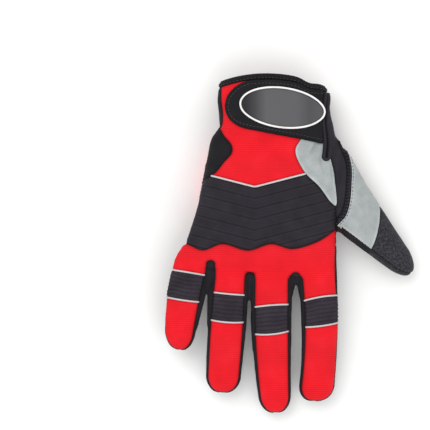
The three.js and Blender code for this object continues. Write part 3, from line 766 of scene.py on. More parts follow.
def storePiece(name, points, tris, material, node=None, seamShade=None):
    mesh = bpy.data.meshes.new(name)
    mesh.vertices.add(len(points))
    mesh.vertices.foreach_set("co", (np.asarray(points) * millimetre).astype(np.float32).ravel())
    mesh.loops.add(len(tris) * 3)
    mesh.loops.foreach_set("vertex_index", np.asarray(tris, np.int32).ravel())
    mesh.polygons.add(len(tris))
    mesh.polygons.foreach_set("loop_start", np.arange(0, len(tris) * 3, 3, dtype=np.int32))
    mesh.polygons.foreach_set("loop_total", np.full(len(tris), 3, np.int32))
    mesh.polygons.foreach_set("use_smooth", np.ones(len(tris), bool))
    mesh.update(calc_edges=True)
    mesh.validate()
    if seamShade is not None:
        shade = mesh.attributes.new("seamShade", "FLOAT", "POINT")
        shade.data.foreach_set("value", np.asarray(seamShade, np.float32))
    mesh.materials.append(material)
    piece = bpy.data.objects.new(name, mesh)
    bpy.context.scene.collection.objects.link(piece)
    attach(piece, "root")
    if node:
        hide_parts(node)
    return piece


def thickened(cloth, outer, inner):
    # A closed piece of cloth between two offsets from the skin
    flat, normal, tris = cloth["flat"], cloth["normal"], cloth["tris"]
    top = flat + normal * np.asarray(outer)[:, None]
    under = flat + normal * np.asarray(inner)[:, None]
    border = borderOf(tris)
    a, b = border[:, 0], border[:, 1]
    count = len(flat)
    rim = [np.column_stack([b, a, a + count]), np.column_stack([b, a + count, b + count])]
    return laid(np.concatenate([top, under])), np.concatenate([tris, tris[:, ::-1] + count, *rim])


def sewPanel(name, cloth, material, slot, rise=0, relief=None, roll=None, wearAndPaintedShading=1.0):
    edge = edgeDistance(cloth)
    body = 1 - hump(edge, roll or sewing["seamRoll"])
    outer = cloth["lift"] * body + (rise + sewing["seamDepth"]) * body - sewing["seamDepth"]
    if relief is not None:
        outer = outer + relief * body * np.clip(cloth["normal"][:, 2] * sewing["reliefFade"], 0, 1)
    points, tris = thickened(cloth, outer, cloth["lift"] * body - sewing["wall"])
    # Painted shade along the seams, times the painted shade and highlights of grooves, tucks and ribs
    shade = np.tile(np.clip(edge / sewing["seamShadow"], 0, 1) * wearAndPaintedShading, 2)
    cloth["outer"] = outer
    return storePiece(f"{name}_cloth", points, tris, material, name, shade)


def sortedLine(cloth, field):
    # The longest line on the cloth where the field is 0, with its normals
    tris = cloth["tris"]
    raised = cloth["flat"] + cloth["normal"] * cloth["outer"][:, None]
    positive = field >= 0
    count = positive[tris].sum(axis=1)
    crossing = tris[(count == 1) | (count == 2)]
    neighbours = {}
    for tri in crossing:
        ends = []
        for k in range(3):
            i, j = sorted((int(tri[k]), int(tri[(k + 1) % 3])))
            if positive[i] != positive[j]:
                ends.append((i, j))
        neighbours.setdefault(ends[0], []).append(ends[1])
        neighbours.setdefault(ends[1], []).append(ends[0])
    best, seen = [], set()
    starts = sorted(neighbours, key=lambda key: len(neighbours[key]))
    for start in starts:
        if start in seen:
            continue
        chain, here = [start], start
        seen.add(start)
        while True:
            onward = [key for key in neighbours[here] if key not in seen]
            if not onward:
                break
            here = onward[0]
            seen.add(here)
            chain.append(here)
        if len(chain) > len(best):
            best = chain
    if len(best) < 4:
        return None
    low, high = np.array(best).T
    t = (field[low] / (field[low] - field[high]))[:, None]
    return raised[low] + (raised[high] - raised[low]) * t, cloth["normal"][low]


def evenly(points, normals, spacing):
    steps = np.concatenate([[0], np.cumsum(np.linalg.norm(np.diff(points, axis=0), axis=1))])
    at = np.arange(spacing / 2, steps[-1], spacing)
    return (
        np.column_stack([np.interp(at, steps, points[:, k]) for k in range(3)]),
        np.column_stack([np.interp(at, steps, normals[:, k]) for k in range(3)]),
    )


def softened(points, rounds=3):
    for _ in range(rounds):
        inner = (points[:-2] + 2 * points[1:-1] + points[2:]) / 4
        points = np.concatenate([points[:1], inner, points[-1:]])
    return points


def frameAlong(points, normals, closed=False):
    tangent = np.gradient(points, axis=0)
    if closed:
        tangent = np.roll(points, -1, axis=0) - np.roll(points, 1, axis=0)
    tangent /= np.maximum(np.linalg.norm(tangent, axis=1), 1e-9)[:, None]
    side = np.cross(normals, tangent)
    side /= np.maximum(np.linalg.norm(side, axis=1), 1e-9)[:, None]
    return tangent, side, np.cross(tangent, side)


def tubeRings(points, frames, profile, sides=10):
    # profile: width, height and lift, one for all rings or one for each
    angle = np.arange(sides) * 2 * math.pi / sides
    rings = []
    for centre, (_, side, up), (width, height, lift) in zip(points, zip(*frames), profile):
        across, over = np.cos(angle) * width / 2, np.sin(angle) * height / 2 + lift
        rings.append(centre + np.outer(across, side) + np.outer(over, up))
    return rings


def tubeAlong(points, normals, width, height, sides=10, lift=0.0, closed=False):
    frames = frameAlong(points, normals, closed)
    rings = tubeRings(points, frames, [(width, height, lift)] * len(points), sides)
    return trianglesOf(*loft(rings, closed))


stitching = {
    "pitch": 2.6,  # coarser than real thread, so that it shows
    "length": 1.9,
    "thickness": 0.42,
    "sides": 6,
    # Along, thick and lift of each ring
    "profile": [(-0.5, 0.45, -0.1), (-0.25, 1, 0.12), (0.25, 1, 0.12), (0.5, 0.45, -0.1)],
}


def stitchRow(points, normals):
    # One row of stitches as grains of thread
    places, facing = evenly(softened(points), normals, stitching["pitch"])
    if len(places) < 3:
        return None
    along, thick, lift = np.array(stitching["profile"]).T
    width = thick * stitching["thickness"]
    grains = []
    for place, tangent, side, up in zip(places, *frameAlong(places, facing)):
        centres = place + np.outer(along * stitching["length"], tangent)
        frames = [np.tile(way, (len(along), 1)) for way in (tangent, side, up)]
        rings = tubeRings(centres, frames, np.column_stack([width, width, lift]), stitching["sides"])
        grains.append(trianglesOf(*loft(rings)))
    return joinedParts(grains)


def joinedParts(parts):
    points, tris, start = [], [], 0
    for partPoints, partTris in parts:
        points.append(partPoints)
        tris.append(partTris + start)
        start += len(partPoints)
    return np.concatenate(points), np.concatenate(tris)


# Materials


def linearColour(code):
    parts = [int(code[i : i + 2], 16) / 255 for i in (1, 3, 5)]
    return tuple(p / 12.92 if p <= 0.04045 else ((p + 0.055) / 1.055) ** 2.4 for p in parts) + (1.0,)


def waveScale(pitch):
    # Scale of a wave texture whose bands are that many millimetres apart
    return 2 * math.pi / (20 * pitch * millimetre)


def grainScale(size):
    # Scale of a noise or Voronoi texture with grains of that size in millimetres
    return 1 / (size * millimetre)


def addNode(material, kind, values=(), links=(), stops=(), output=0, **settings):
    # Gives one output of the new node. stops: places and colours of a colour ramp.
    node = material.node_tree.nodes.new("ShaderNode" + kind)
    for name, value in settings.items():
        setattr(node, name, value)
    for name, value in dict(values).items():
        node.inputs[name].default_value = value
    for name, source in dict(links).items():
        material.node_tree.links.new(source, node.inputs[name])
    if stops:
        elements = node.color_ramp.elements
        while len(elements) < len(stops):
            elements.new(0.5)
        for element, (position, code) in zip(elements, stops):
            element.position = position
            element.color = linearColour(code)
    return node.outputs[output]


def startMaterial(name, values):
    material = bpy.data.materials.new(name)
    material.use_nodes = True
    shader = material.node_tree.nodes["Principled BSDF"]
    for socket, value in values.items():
        shader.inputs[socket].default_value = linearColour(value) if isinstance(value, str) else value
    return material, shader, addNode(material, "TexCoord", output="Object")


def finish(material, shader, colour, height, depth, roughness=None):
    # depth: of the relief, in millimetres
    links = material.node_tree.links
    relief = {"Distance": depth * millimetre, "Strength": 1.0}
    links.new(addNode(material, "Bump", relief, {"Height": height}), shader.inputs["Normal"])
    links.new(colour, shader.inputs["Base Color"])
    if roughness is not None:
        links.new(roughness, shader.inputs["Roughness"])
    return material


def shadedSeams(material, colour, fold, beside="#E6E6E6", away="#FFFFFF"):
    # Cloth has another tone in the fold of a seam: painted shade there, with some soiling; on suede a lighter
    # painted highlight
    shade = addNode(material, "Attribute", attribute_name="seamShade", output="Fac")
    stops = [(0.0, fold), (0.35, beside), (1.0, away)]
    tone = addNode(material, "ValToRGB", links={"Fac": shade}, stops=stops)
    mixing = {"data_type": "RGBA", "blend_type": "MULTIPLY"}
    return addNode(material, "Mix", {0: 1.0}, {6: colour, 7: tone}, output=2, **mixing)


def redStretchKnit():
    # Polyester stretch cloth, rib knitted: fine cross ribs, matt, with a bloom of lighter fibres
    material, shader, place = startMaterial("redStretchKnit", {
        "Roughness": 0.82, "IOR": 1.5, "Specular IOR Level": 0.2,
        "Sheen Weight": 0.04, "Sheen Roughness": 0.4, "Sheen Tint": "#FF8A80",
    })
    ribs = addNode(
        material, "TexWave", {"Scale": waveScale(1.5), "Distortion": 0.6, "Detail": 2.0, "Detail Scale": 0.4},
        {"Vector": place}, output="Fac", bands_direction="Y",
    )  # real ribs are 1 mm apart, drawn coarser so that they show
    loops = addNode(material, "TexVoronoi", {"Scale": grainScale(0.7)}, {"Vector": place})
    relief = addNode(material, "Math", {1: 0.35}, {0: loops, 2: ribs}, operation="MULTIPLY_ADD")
    cloudy = addNode(material, "TexNoise", {"Scale": grainScale(14), "Detail": 3.0}, {"Vector": place})
    reds = [(0.3, "#D8111F"), (0.55, "#E01422"), (0.75, "#E51B29")]
    tone = addNode(material, "ValToRGB", links={"Fac": cloudy}, stops=reds)
    # Painted shade in the valleys between the ribs
    lines = addNode(material, "ValToRGB", links={"Fac": ribs}, stops=[(0.0, "#EEEEEE"), (0.6, "#FFFFFF")])
    mixing = {"data_type": "RGBA", "blend_type": "MULTIPLY"}
    colour = addNode(material, "Mix", {0: 1.0}, {6: tone, 7: lines}, output=2, **mixing)
    return finish(material, shader, shadedSeams(material, colour, "#7A7A7A"), relief, 0.09)


def blackJersey(name, code, lighter):
    # Jersey knit over foam or as stretch gussets: matt charcoal black with tiny loops
    material, shader, place = startMaterial(name, {
        "Roughness": 0.85, "IOR": 1.5, "Specular IOR Level": 0.2,
        "Sheen Weight": 0.05, "Sheen Roughness": 0.45, "Sheen Tint": "#8E8A99",
    })
    loops = addNode(material, "TexVoronoi", {"Scale": grainScale(0.8)}, {"Vector": place})
    cloudy = addNode(material, "TexNoise", {"Scale": grainScale(9), "Detail": 4.0}, {"Vector": place})
    tone = addNode(material, "ValToRGB", links={"Fac": cloudy}, stops=[(0.3, code), (0.7, lighter)])
    return finish(material, shader, shadedSeams(material, tone, "#6A6A6A"), loops, 0.14)


def greySuede():
    # Microfibre suede: brushed nap, no shine, light and dark strokes where it was rubbed
    material, shader, place = startMaterial("greySuede", {
        "Roughness": 0.95, "IOR": 1.45, "Specular IOR Level": 0.2,
        "Sheen Weight": 0.15, "Sheen Roughness": 0.5, "Sheen Tint": "#DDE0E0",
    })
    brushed = addNode(material, "Mapping", {"Scale": (1.0, 0.45, 1.0)}, {"Vector": place})
    nap = addNode(material, "TexNoise", {"Scale": grainScale(0.9), "Detail": 6.0}, {"Vector": brushed})
    wearAndPaintedHighlight = addNode(material, "TexNoise", {"Scale": grainScale(8), "Detail": 5.0}, {"Vector": place})
    mixed = addNode(material, "Math", {1: 0.35}, {0: nap, 2: wearAndPaintedHighlight}, operation="MULTIPLY_ADD")
    greys = [(0.4, "#A3A9A9"), (0.62, "#AEB4B4"), (0.85, "#B9BFBF")]
    tone = addNode(material, "ValToRGB", links={"Fac": mixed}, stops=greys)
    # Painted highlight along a turned edge, where the folded hem catches the light
    return finish(material, shader, shadedSeams(material, tone, "#FFFFFF", "#FFFFFF", "#E4E4E4"), nap, 0.25)


def charcoalGripCloth():
    # Pilled, rubber dotted grip cloth: rough grey flecks on charcoal
    material, shader, place = startMaterial("charcoalGripCloth", {
        "Roughness": 0.9, "IOR": 1.5, "Specular IOR Level": 0.25,
        "Sheen Weight": 0.05, "Sheen Roughness": 0.5,
    })
    rough = {"Scale": grainScale(1.5), "Detail": 4.0, "Roughness": 0.7}
    pills = addNode(material, "TexNoise", rough, {"Vector": place})
    dots = addNode(material, "TexVoronoi", {"Scale": grainScale(1.1)}, {"Vector": place})
    height = addNode(material, "Math", {1: 0.6}, {0: dots, 2: pills}, operation="MULTIPLY_ADD")
    flecks = [(0.36, "#1D1D22"), (0.5, "#2B2B30"), (0.68, "#45454B")]
    tone = addNode(material, "ValToRGB", links={"Fac": pills}, stops=flecks)
    return finish(material, shader, shadedSeams(material, tone, "#707070"), height, 0.45)


def blackSyntheticLeather():
    # Coated polyurethane leather: pebbled grain, matt, with a faint gloss on the tops of the grain
    look = {"IOR": 1.5, "Specular IOR Level": 0.15}
    material, shader, place = startMaterial("blackSyntheticLeather", look)
    grain = {"Scale": grainScale(1.3), "Randomness": 0.9}
    pebbles = addNode(material, "TexVoronoi", grain, {"Vector": place}, feature="SMOOTH_F1")
    pores = addNode(material, "TexNoise", {"Scale": grainScale(0.5), "Detail": 3.0}, {"Vector": place})
    height = addNode(material, "Math", {1: -0.9}, {0: pebbles, 2: pores}, operation="MULTIPLY_ADD")
    wearAndPaintedShading = addNode(material, "TexNoise", {"Scale": grainScale(20), "Detail": 4.0}, {"Vector": place})
    tone = addNode(material, "ValToRGB", links={"Fac": wearAndPaintedShading}, stops=[(0.35, "#1B1A1D"), (0.7, "#262529")])
    gloss = addNode(material, "MapRange", {"To Min": 0.6, "To Max": 0.8}, {"Value": wearAndPaintedShading})
    return finish(material, shader, shadedSeams(material, tone, "#6A6A6A"), height, 0.3, gloss)


def reflectivePiping():
    # Piping cord in glass bead tape: pale grey, a little silvery, faint cross weave
    look = {"Roughness": 0.42, "IOR": 1.5, "Metallic": 0.1, "Coat Weight": 0.1, "Coat Roughness": 0.3}
    material, shader, place = startMaterial("reflectivePiping", look)
    weave = addNode(material, "TexVoronoi", {"Scale": grainScale(0.6)}, {"Vector": place})
    tone = addNode(material, "ValToRGB", links={"Fac": weave}, stops=[(0.0, "#D6D2D2"), (0.8, "#B4B0B0")])
    return finish(material, shader, tone, weave, 0.12)


def patchRubber():
    # Moulded soft rubber, satin: grey that fades darker to the patch's left end, with a stripe of painted
    # crease shade near its right end
    look = {"Roughness": 0.6, "IOR": 1.5, "Specular IOR Level": 0.25}
    material, shader, place = startMaterial("patchRubber", look)
    across = addNode(material, "SeparateXYZ", links={"Vector": place})
    length = {"From Min": -0.0115, "From Max": 0.045}  # the patch's two ends
    along = addNode(material, "MapRange", length, {"Value": across})
    tone = addNode(material, "ValToRGB", links={"Fac": along}, stops=[
        (0.0, "#1F1E21"), (0.11, "#39383B"), (0.25, "#555558"),
        # A darker stripe near the right end: painted shade of a crease
        (0.64, "#555558"), (0.8, "#48484B"), (0.95, "#505053"),
    ])
    grit = addNode(material, "TexNoise", {"Scale": grainScale(0.9), "Detail": 3.0}, {"Vector": place})
    return finish(material, shader, tone, grit, 0.06)


def whiteRubber():
    # Moulded white rubber line, a little glossy, faintly soiled
    material, shader, place = startMaterial("whiteRubber", {"Roughness": 0.38, "IOR": 1.5})
    soil = addNode(material, "TexNoise", {"Scale": grainScale(6), "Detail": 4.0}, {"Vector": place})
    tone = addNode(material, "ValToRGB", links={"Fac": soil}, stops=[(0.3, "#DEDDDA"), (0.6, "#F4F3F1")])
    return finish(material, shader, tone, soil, 0.05)


def nylonPile(name, size, depth):
    # Woven nylon tape with loops or hooks: dull black with a short rough pile
    material, shader, place = startMaterial(name, {"Roughness": 0.9, "IOR": 1.53, "Sheen Weight": 0.3})
    pile = addNode(material, "TexVoronoi", {"Scale": grainScale(size)}, {"Vector": place})
    tone = addNode(material, "ValToRGB", links={"Fac": pile}, stops=[(0.0, "#34333A"), (0.7, "#17161A")])
    return finish(material, shader, tone, pile, depth)


def castUrethane():
    # Cast urethane: clear pinkish red, soft gloss, turned rings, scuffed where it slides
    look = {"IOR": 1.5, "Subsurface Weight": 0.08, "Subsurface Scale": 0.004, "Coat Weight": 0.15}
    material, shader, place = startMaterial("castUrethane", look)
    rough = {"Scale": grainScale(5), "Detail": 8.0, "Roughness": 0.7}
    scuffs = addNode(material, "TexNoise", rough, {"Vector": place})
    rings = addNode(
        material, "TexWave", {"Scale": waveScale(1.6), "Distortion": 0.5}, {"Vector": place},
        output="Fac", wave_type="RINGS", rings_direction="Z",
    )
    reds = [(0.3, "#EE2F48"), (0.6, "#FA3B52"), (0.8, "#FF6476")]
    tone = addNode(material, "ValToRGB", links={"Fac": scuffs}, stops=reds)
    gloss = addNode(material, "MapRange", {"To Min": 0.28, "To Max": 0.55}, {"Value": scuffs})
    height = addNode(material, "Math", {1: 0.25}, {0: rings, 2: scuffs}, operation="MULTIPLY_ADD")
    return finish(material, shader, tone, height, 0.08, gloss)


def sewingThread(name, light, dark):
    # Bonded polyester thread: a soft shine along its twist
    material, shader, place = startMaterial(name, {"Roughness": 0.5, "IOR": 1.5, "Sheen Weight": 0.2})
    twist = addNode(material, "TexNoise", {"Scale": grainScale(0.5)}, {"Vector": place})
    tone = addNode(material, "ValToRGB", links={"Fac": twist}, stops=[(0.3, dark), (0.7, light)])
    return finish(material, shader, tone, twist, 0.08)


def matPaper(low, high):
    # Uncoated studio paper: nearly white, no shine, faint clouds of fibre
    material, shader, place = startMaterial("matPaper", {"Roughness": 0.95, "IOR": 1.45})
    fibres = addNode(material, "TexNoise", {"Scale": grainScale(40)}, {"Vector": place})
    tone = addNode(material, "ValToRGB", links={"Fac": fibres}, stops=[(0.3, low), (0.7, high)])
    return finish(material, shader, tone, fibres, 0.01)


say("materials")
redKnit = redStretchKnit()
blackNeoprene = blackJersey("blackNeoprene", "#242127", "#2B282F")
quiltedNeoprene = blackJersey("blackQuiltedNeoprene", "#28242B", "#2F2B33")
strapNeoprene = blackJersey("blackStrapNeoprene", "#141316", "#1A191C")
blackGusset = blackJersey("blackStretchGusset", "#1B1A1D", "#242227")
blackBanding = blackJersey("blackPintuckCloth", "#2A252C", "#37313A")
blackBinding = blackJersey("blackBindingTape", "#131214", "#1A181B")
suede = greySuede()
gripCloth = charcoalGripCloth()
leather = blackSyntheticLeather()
pipingTape = reflectivePiping()
badgeRubber = patchRubber()
rimRubber = whiteRubber()
loopPile = nylonPile("nylonLoopPile", 0.9, 0.4)
hookPile = nylonPile("nylonHooks", 1.2, 0.5)
urethane = castUrethane()
greyThread = sewingThread("greyThread", "#C9CFCD", "#98A09E")
blackThread = sewingThread("blackThread", "#35333A", "#1A191D")

say("skin")
glove = gloveSkin()
say(f"skin of {len(glove['tris'])} triangles")
panels = cutPanels(glove)
say(f"{len(panels)} panels cut")


# Padded cloth, held along its stitches and pushed up by a cloth simulation
padding = {
    "frames": 14, "quality": 3, "pressure": 20, "mass": 0.04, "stretch": 15, "shear": 5, "bend": 0.5,
    "scale": 0.1,  # it is simulated 100 times larger, where the simulation is steady
    "seam": 0.5,  # the cloth is held this near to its edge
}


def simulated(cloth, held, slack):
    # The panel's points after the simulation
    scene = bpy.context.scene
    mesh = bpy.data.meshes.new("padding")
    mesh.from_pydata((cloth["flat"] * padding["scale"]).tolist(), [], cloth["tris"].tolist())
    sheet = bpy.data.objects.new("padding", mesh)
    scene.collection.objects.link(sheet)
    sheet.vertex_groups.new(name="stitched").add(np.flatnonzero(held).tolist(), 1.0, "REPLACE")
    modifier = sheet.modifiers.new("padding", "CLOTH")
    modifier.point_cache.frame_end = padding["frames"]
    settings = modifier.settings
    settings.vertex_group_mass = "stitched"
    settings.mass = padding["mass"]
    settings.quality = padding["quality"]
    settings.use_pressure = True
    settings.uniform_pressure_force = padding["pressure"]
    settings.tension_stiffness = settings.compression_stiffness = padding["stretch"]
    settings.shear_stiffness = padding["shear"]
    settings.bending_stiffness = padding["bend"]
    settings.shrink_min = -slack
    settings.effector_weights.gravity = 0
    for step in range(1, padding["frames"] + 1):
        scene.frame_set(step)
    done = sheet.evaluated_get(bpy.context.evaluated_depsgraph_get()).to_mesh()
    ends = np.zeros(len(done.vertices) * 3)
    done.vertices.foreach_get("co", ends)
    bpy.data.objects.remove(sheet)
    bpy.data.meshes.remove(mesh)
    scene.frame_set(1)
    return ends.reshape(-1, 3) / padding["scale"]


def swollen(cloth, held, form):
    # How far each point rises along its normal, in millimetres
    held = held | (edgeDistance(cloth) < padding["seam"])
    moved = simulated(cloth, held, form["slack"]) - cloth["flat"]
    rise = np.clip((moved * cloth["normal"]).sum(axis=1), 0, form["most"])
    say(f"padding of {len(rise)} points rose {rise.mean():.2f} mm, at most {rise.max():.2f} mm")
    return rise


def quilting(points):
    # Where the channels are stitched down, and the painted highlight and painted shade of the cloth across
    # them
    below = chevronLine(points[:, 0]) - points[:, 1] - chevron["pipingWidth"]
    place = np.mod(below / chevron["pitch"], 1)
    near = np.minimum(place, 1 - place) * chevron["pitch"]
    # Painted highlight along both edges of each groove, painted shade down its middle
    wearAndPaintedHighlight = hump(near - chevron["highlightAt"], chevron["highlightWidth"])
    return near < chevron["held"], 0.35 + 0.65 * wearAndPaintedHighlight - 0.2 * hump(near, chevron["grooveWidth"])


def pintucks(finger, points):
    # Where the tucks are stitched down, and the painted shade in the grooves between them
    upper, lower, _ = bandEdges(finger, points)
    shift = [noise.noise(Vector((p[0], p[1] * 0.3, 5)) / bands["waverSize"]) for p in points]
    share = upper / np.maximum(upper - lower, 1e-6)
    count = round(bands["length"] / bands["ribPitch"])
    tuck = np.abs(np.sin(math.pi * (share * count + np.array(shift) * bands["waver"])))
    return tuck < bands["held"], np.clip(tuck * 1.6, 0.1, 1)


# Ribbed edging of the thumb saddle, beside the grip patch. Real ribs are finer.
edging = {"width": 4.2, "step": 0.2, "high": 0.6, "rib": 0.45, "pitch": 2.3, "groove": 0.5}


def saddleEdging(points):
    # Height of the edging, and its tone: painted shade in the groove along its edge, and a darker strip with
    # painted shade between its ribs
    away = -insideOf(gripOutline(), points)
    strip = 1 / (1 + np.exp(np.clip((away - edging["width"]) / edging["step"], -30, 30)))
    rib = np.sin(math.pi * points[:, 1] / edging["pitch"]) ** 2
    groove = hump(away - edging["width"], edging["groove"])
    wearAndPaintedShading = np.clip(1 - 0.8 * groove - strip * (1 - 0.5 * rib), 0, 1)
    return strip * (edging["high"] + edging["rib"] * rib), wearAndPaintedShading


def faceBeyond(piece, outline, material):
    # Another cloth on the part of a piece that lies inside an outline
    mesh = piece.data
    mesh.materials.append(material)
    centres = np.zeros(len(mesh.polygons) * 3)
    mesh.polygons.foreach_get("center", centres)
    inside = insideOf(outline, centres.reshape(-1, 3) / millimetre) > 0
    mesh.polygons.foreach_set("material_index", inside.astype(np.int32))


# Cloth, slot and rise of the plain panels, by the end of the panel's name: the first that fits
plainPanels = {
    "thumb_tip_back": (gripCloth, "charcoal_cloth", 0),
    "tip_back": (redKnit, "red_cloth", 0),
    "back_panel": (redKnit, "red_cloth", 0),
    "tip_palm": (leather, "black_leather", 0),
    "thumb_palm": (leather, "black_leather", 0),
    "palm_panel": (leather, "black_leather", 0),
    "patch": (suede, "grey_suede", 0.1),
    "gusset": (blackGusset, "black_cloth", 0),
    "side_panel": (strapNeoprene, "black_cloth", 0.1),
}
binding = {"rise": 0.7, "roll": 1.6}


def sewPanels():
    for name, cloth in panels.items():
        banded = name.endswith("knuckle_band")
        if banded or name in ("chevron_pad", "cuff_binding", "thumb_saddle"):
            cloth = panels[name] = refined(cloth)
        if banded:
            held, wearAndPaintedShading = pintucks(fingers[name.split("_")[0]], cloth["flat"])
            relief = swollen(cloth, held, bands)
            sewPanel(name, cloth, blackBanding, "black_cloth", bands["rise"], relief, wearAndPaintedShading=wearAndPaintedShading)
        elif name == "chevron_pad":
            held, wearAndPaintedShading = quilting(cloth["flat"])
            relief = swollen(cloth, held, chevron)
            shape = (chevron["rise"], relief, chevron["roll"])
            sewPanel(name, cloth, quiltedNeoprene, "black_cloth", *shape, wearAndPaintedShading)
        elif name == "thumb_saddle":
            relief, wearAndPaintedShading = saddleEdging(cloth["flat"])
            sewPanel(name, cloth, blackNeoprene, "black_cloth", 0.1, relief, wearAndPaintedShading=wearAndPaintedShading)
        elif name == "cuff_binding":
            sewPanel(name, cloth, blackBinding, "black_cloth", binding["rise"], roll=binding["roll"])
        else:
            material, slot, rise = next(plain for end, plain in plainPanels.items() if name.endswith(end))
            piece = sewPanel(name, cloth, material, slot, rise)
            if name == "thumb_gusset":
                faceBeyond(piece, thumbTipOutline(), gripCloth)


sewPanels()
say("panels sewn")


# Cloth and rubber on top of the skin


def coverCut(outline, side, times=0):
    flat = glove["flat"]
    cloth, _ = cutAlong(glove, np.minimum(insideOf(outline, flat), side(flat)))
    return refined(cloth, times)


def cover(cloth, outer, inner, name, material, node, slot, shade=None):
    cloth["outer"] = outer
    points, tris = thickened(cloth, outer, inner + np.zeros(len(outer)))
    if shade is not None:
        shade = np.tile(np.clip(shade, 0, 1), 2)
    storePiece(name, points, tris, material, node, shade)
    return cloth


strap = {
    "gap": 0.25, "thickness": 2.4, "edgeDrop": 1.1, "edgeRoll": 0.8,
    "follows": 0.4,  # share of the skin's folds that show through the strap
    "hem": 2.6, "hemDepth": 0.35, "hemWidth": 0.6,  # the row of stitches draws the strap in
    "hemEnd": 0.38, "hemPast": 20,  # no row along the end that goes into the slit
}
strapTop = strap["gap"] + strap["thickness"]


def strapOutline():
    outline = smoothLine(panelPoints("strap"), 110)
    outline[:, 1] = np.minimum(outline[:, 1], cuffLine(outline[:, 0]) - sewing["bindingWidth"] - 0.05)
    return outline


def sewStrap():
    cloth = coverCut(strapOutline(), backOf, 1)
    edge = edgeDistance(cloth)
    folded = strap["follows"] * cloth["lift"]
    outer = strapTop - strap["edgeDrop"] * hump(edge, strap["edgeRoll"]) + folded
    outer -= strap["hemDepth"] * hump(edge - strap["hem"], strap["hemWidth"])
    look = ("wrist_strap_cloth", strapNeoprene, "wrist_strap", "black_cloth", edge / sewing["seamShadow"])
    return cover(cloth, outer, strap["gap"] + folded, *look)


slit = {
    "across": 0.413, "foot": 0.436, "footHalf": 3.1, "topHalf": 2.4, "waver": 0.8, "waverRun": 6.0,
    "under": 0.2, "rise": 0.5, "ridge": 1.5,
    "ridgeRound": 0.6,  # less is a flatter ridge with steeper sides
}


def slitOutline():
    middle, radius = slit["across"] * hand["palmWidth"], slit["footHalf"]
    centre = np.array([middle, hand["cuffReach"] - slit["foot"] * hand["length"] + radius])
    foot = ellipse(centre, radius, radius, 180, 40)[:21]
    top = float(cuffLine(middle)) - sewing["bindingWidth"] - 0.3
    along = np.linspace(centre[1], top, 14)[1:]
    half = np.linspace(radius, slit["topHalf"], 14)[1:]
    waver = slit["waver"] * np.sin((along - centre[1]) / slit["waverRun"])
    sides = [np.column_stack([middle + way * half + waver, along]) for way in (1, -1)]
    return np.concatenate([foot, sides[0], sides[1][::-1]])


def bindSlit():
    cloth = coverCut(slitOutline(), backOf, 2)
    inside = insideOf(slitOutline(), cloth["flat"])
    ridge = np.abs(np.sin(math.pi * np.clip(inside / slit["topHalf"], 0, 1))) ** slit["ridgeRound"]
    # The ridge also gives painted shade: darker at the edges and in the groove between the two ridges
    look = ("slit_binding_cloth", blackNeoprene, "slit_binding", "black_cloth", ridge)
    cover(cloth, slit["rise"] + slit["ridge"] * ridge, slit["under"], *look)


badge = {
    "spot": (0.127, 0.173), "halfLength": 30.2, "halfWidth": 15.2, "tilt": -8,
    "under": 0.1, "thickness": 0.55, "dome": 0.5, "domeRun": 6, "edgeDrop": 0.3, "edgeRoll": 0.7,
    "rim": 1.5, "rimWidth": 1.4, "rimHeight": 1.5, "rimStep": 0.8,
    "around": 5.8,  # the skin is cut this far outside the patch, to lay the rim on it
}


def badgeOval(inset, steps=96):
    long, wide = badge["halfLength"] - inset, badge["halfWidth"] - inset
    return ellipse(spot(*badge["spot"]), long, wide, badge["tilt"], steps)


def mouldBadge():
    cloth = coverCut(badgeOval(badge["rim"]), backOf)
    edge = edgeDistance(cloth)
    outer = strapTop + badge["thickness"] + badge["dome"] * (1 - np.exp(-edge / badge["domeRun"]))
    outer -= badge["edgeDrop"] * hump(edge, badge["edgeRoll"])
    cover(cloth, outer, strapTop + badge["under"], "strap_badge_rubber", badgeRubber, "strap_badge", "badge")


def mouldBadgeRim():
    cloth = {**glove, "outer": np.full(len(glove["flat"]), strapTop)}
    around = insideOf(badgeOval(-badge["around"]), cloth["flat"])
    cloth, _ = cutAlong(cloth, np.minimum(around, backOf(cloth["flat"])))
    line, normals = sortedLine(cloth, insideOf(badgeOval(badge["rim"] / 2, 200), cloth["flat"]))
    line, normals = np.concatenate([line, line[:1]]), np.concatenate([normals, normals[:1]])
    line, normals = evenly(line, normals, badge["rimStep"])
    for _ in range(3):
        line = (np.roll(line, 1, axis=0) + 2 * line + np.roll(line, -1, axis=0)) / 4
    lift = badge["rimHeight"] / 2
    points, tris = tubeAlong(line, normals, badge["rimWidth"], badge["rimHeight"], 12, lift, closed=True)
    storePiece("strap_badge_rim_rubber", laid(points), tris, rimRubber, "strap_badge_rim")


loop = {"radius": 44.5, "under": 0.3, "top": 1.45, "edgeDrop": 0.4, "edgeRoll": 0.7}
loopCircle = ellipse((0, 0), loop["radius"], loop["radius"], 0, 160)


def sewLoopPatch():
    cloth = coverCut(loopCircle, palmSide)
    outer = loop["top"] - loop["edgeDrop"] * hump(edgeDistance(cloth), loop["edgeRoll"])
    look = ("palm_loop_patch_pile", loopPile, "palm_loop_patch", "hook_loop")
    return cover(cloth, outer, loop["under"], *look)


strapCloth = sewStrap()
bindSlit()
mouldBadge()
mouldBadgeRim()
loopCloth = sewLoopPatch()
say("strap and patches")

# Piping, sewn into the seams
piping = {"height": 1.5, "lift": 0.15, "step": 0.8, "aboveBand": 6, "belowBand": 0.7}


def pipingOn(node, fieldOf, keep, width):
    cloth, _ = cutAlong({**glove, "outer": np.zeros(len(glove["flat"]))}, keep(glove["flat"]))
    line, normals = sortedLine(cloth, fieldOf(cloth["flat"]))
    line, normals = evenly(softened(line), normals, piping["step"])
    points, tris = tubeAlong(softened(line, 4), normals, width, piping["height"], 10, piping["lift"])
    storePiece(f"{node}_tape", laid(points), tris, pipingTape, node)


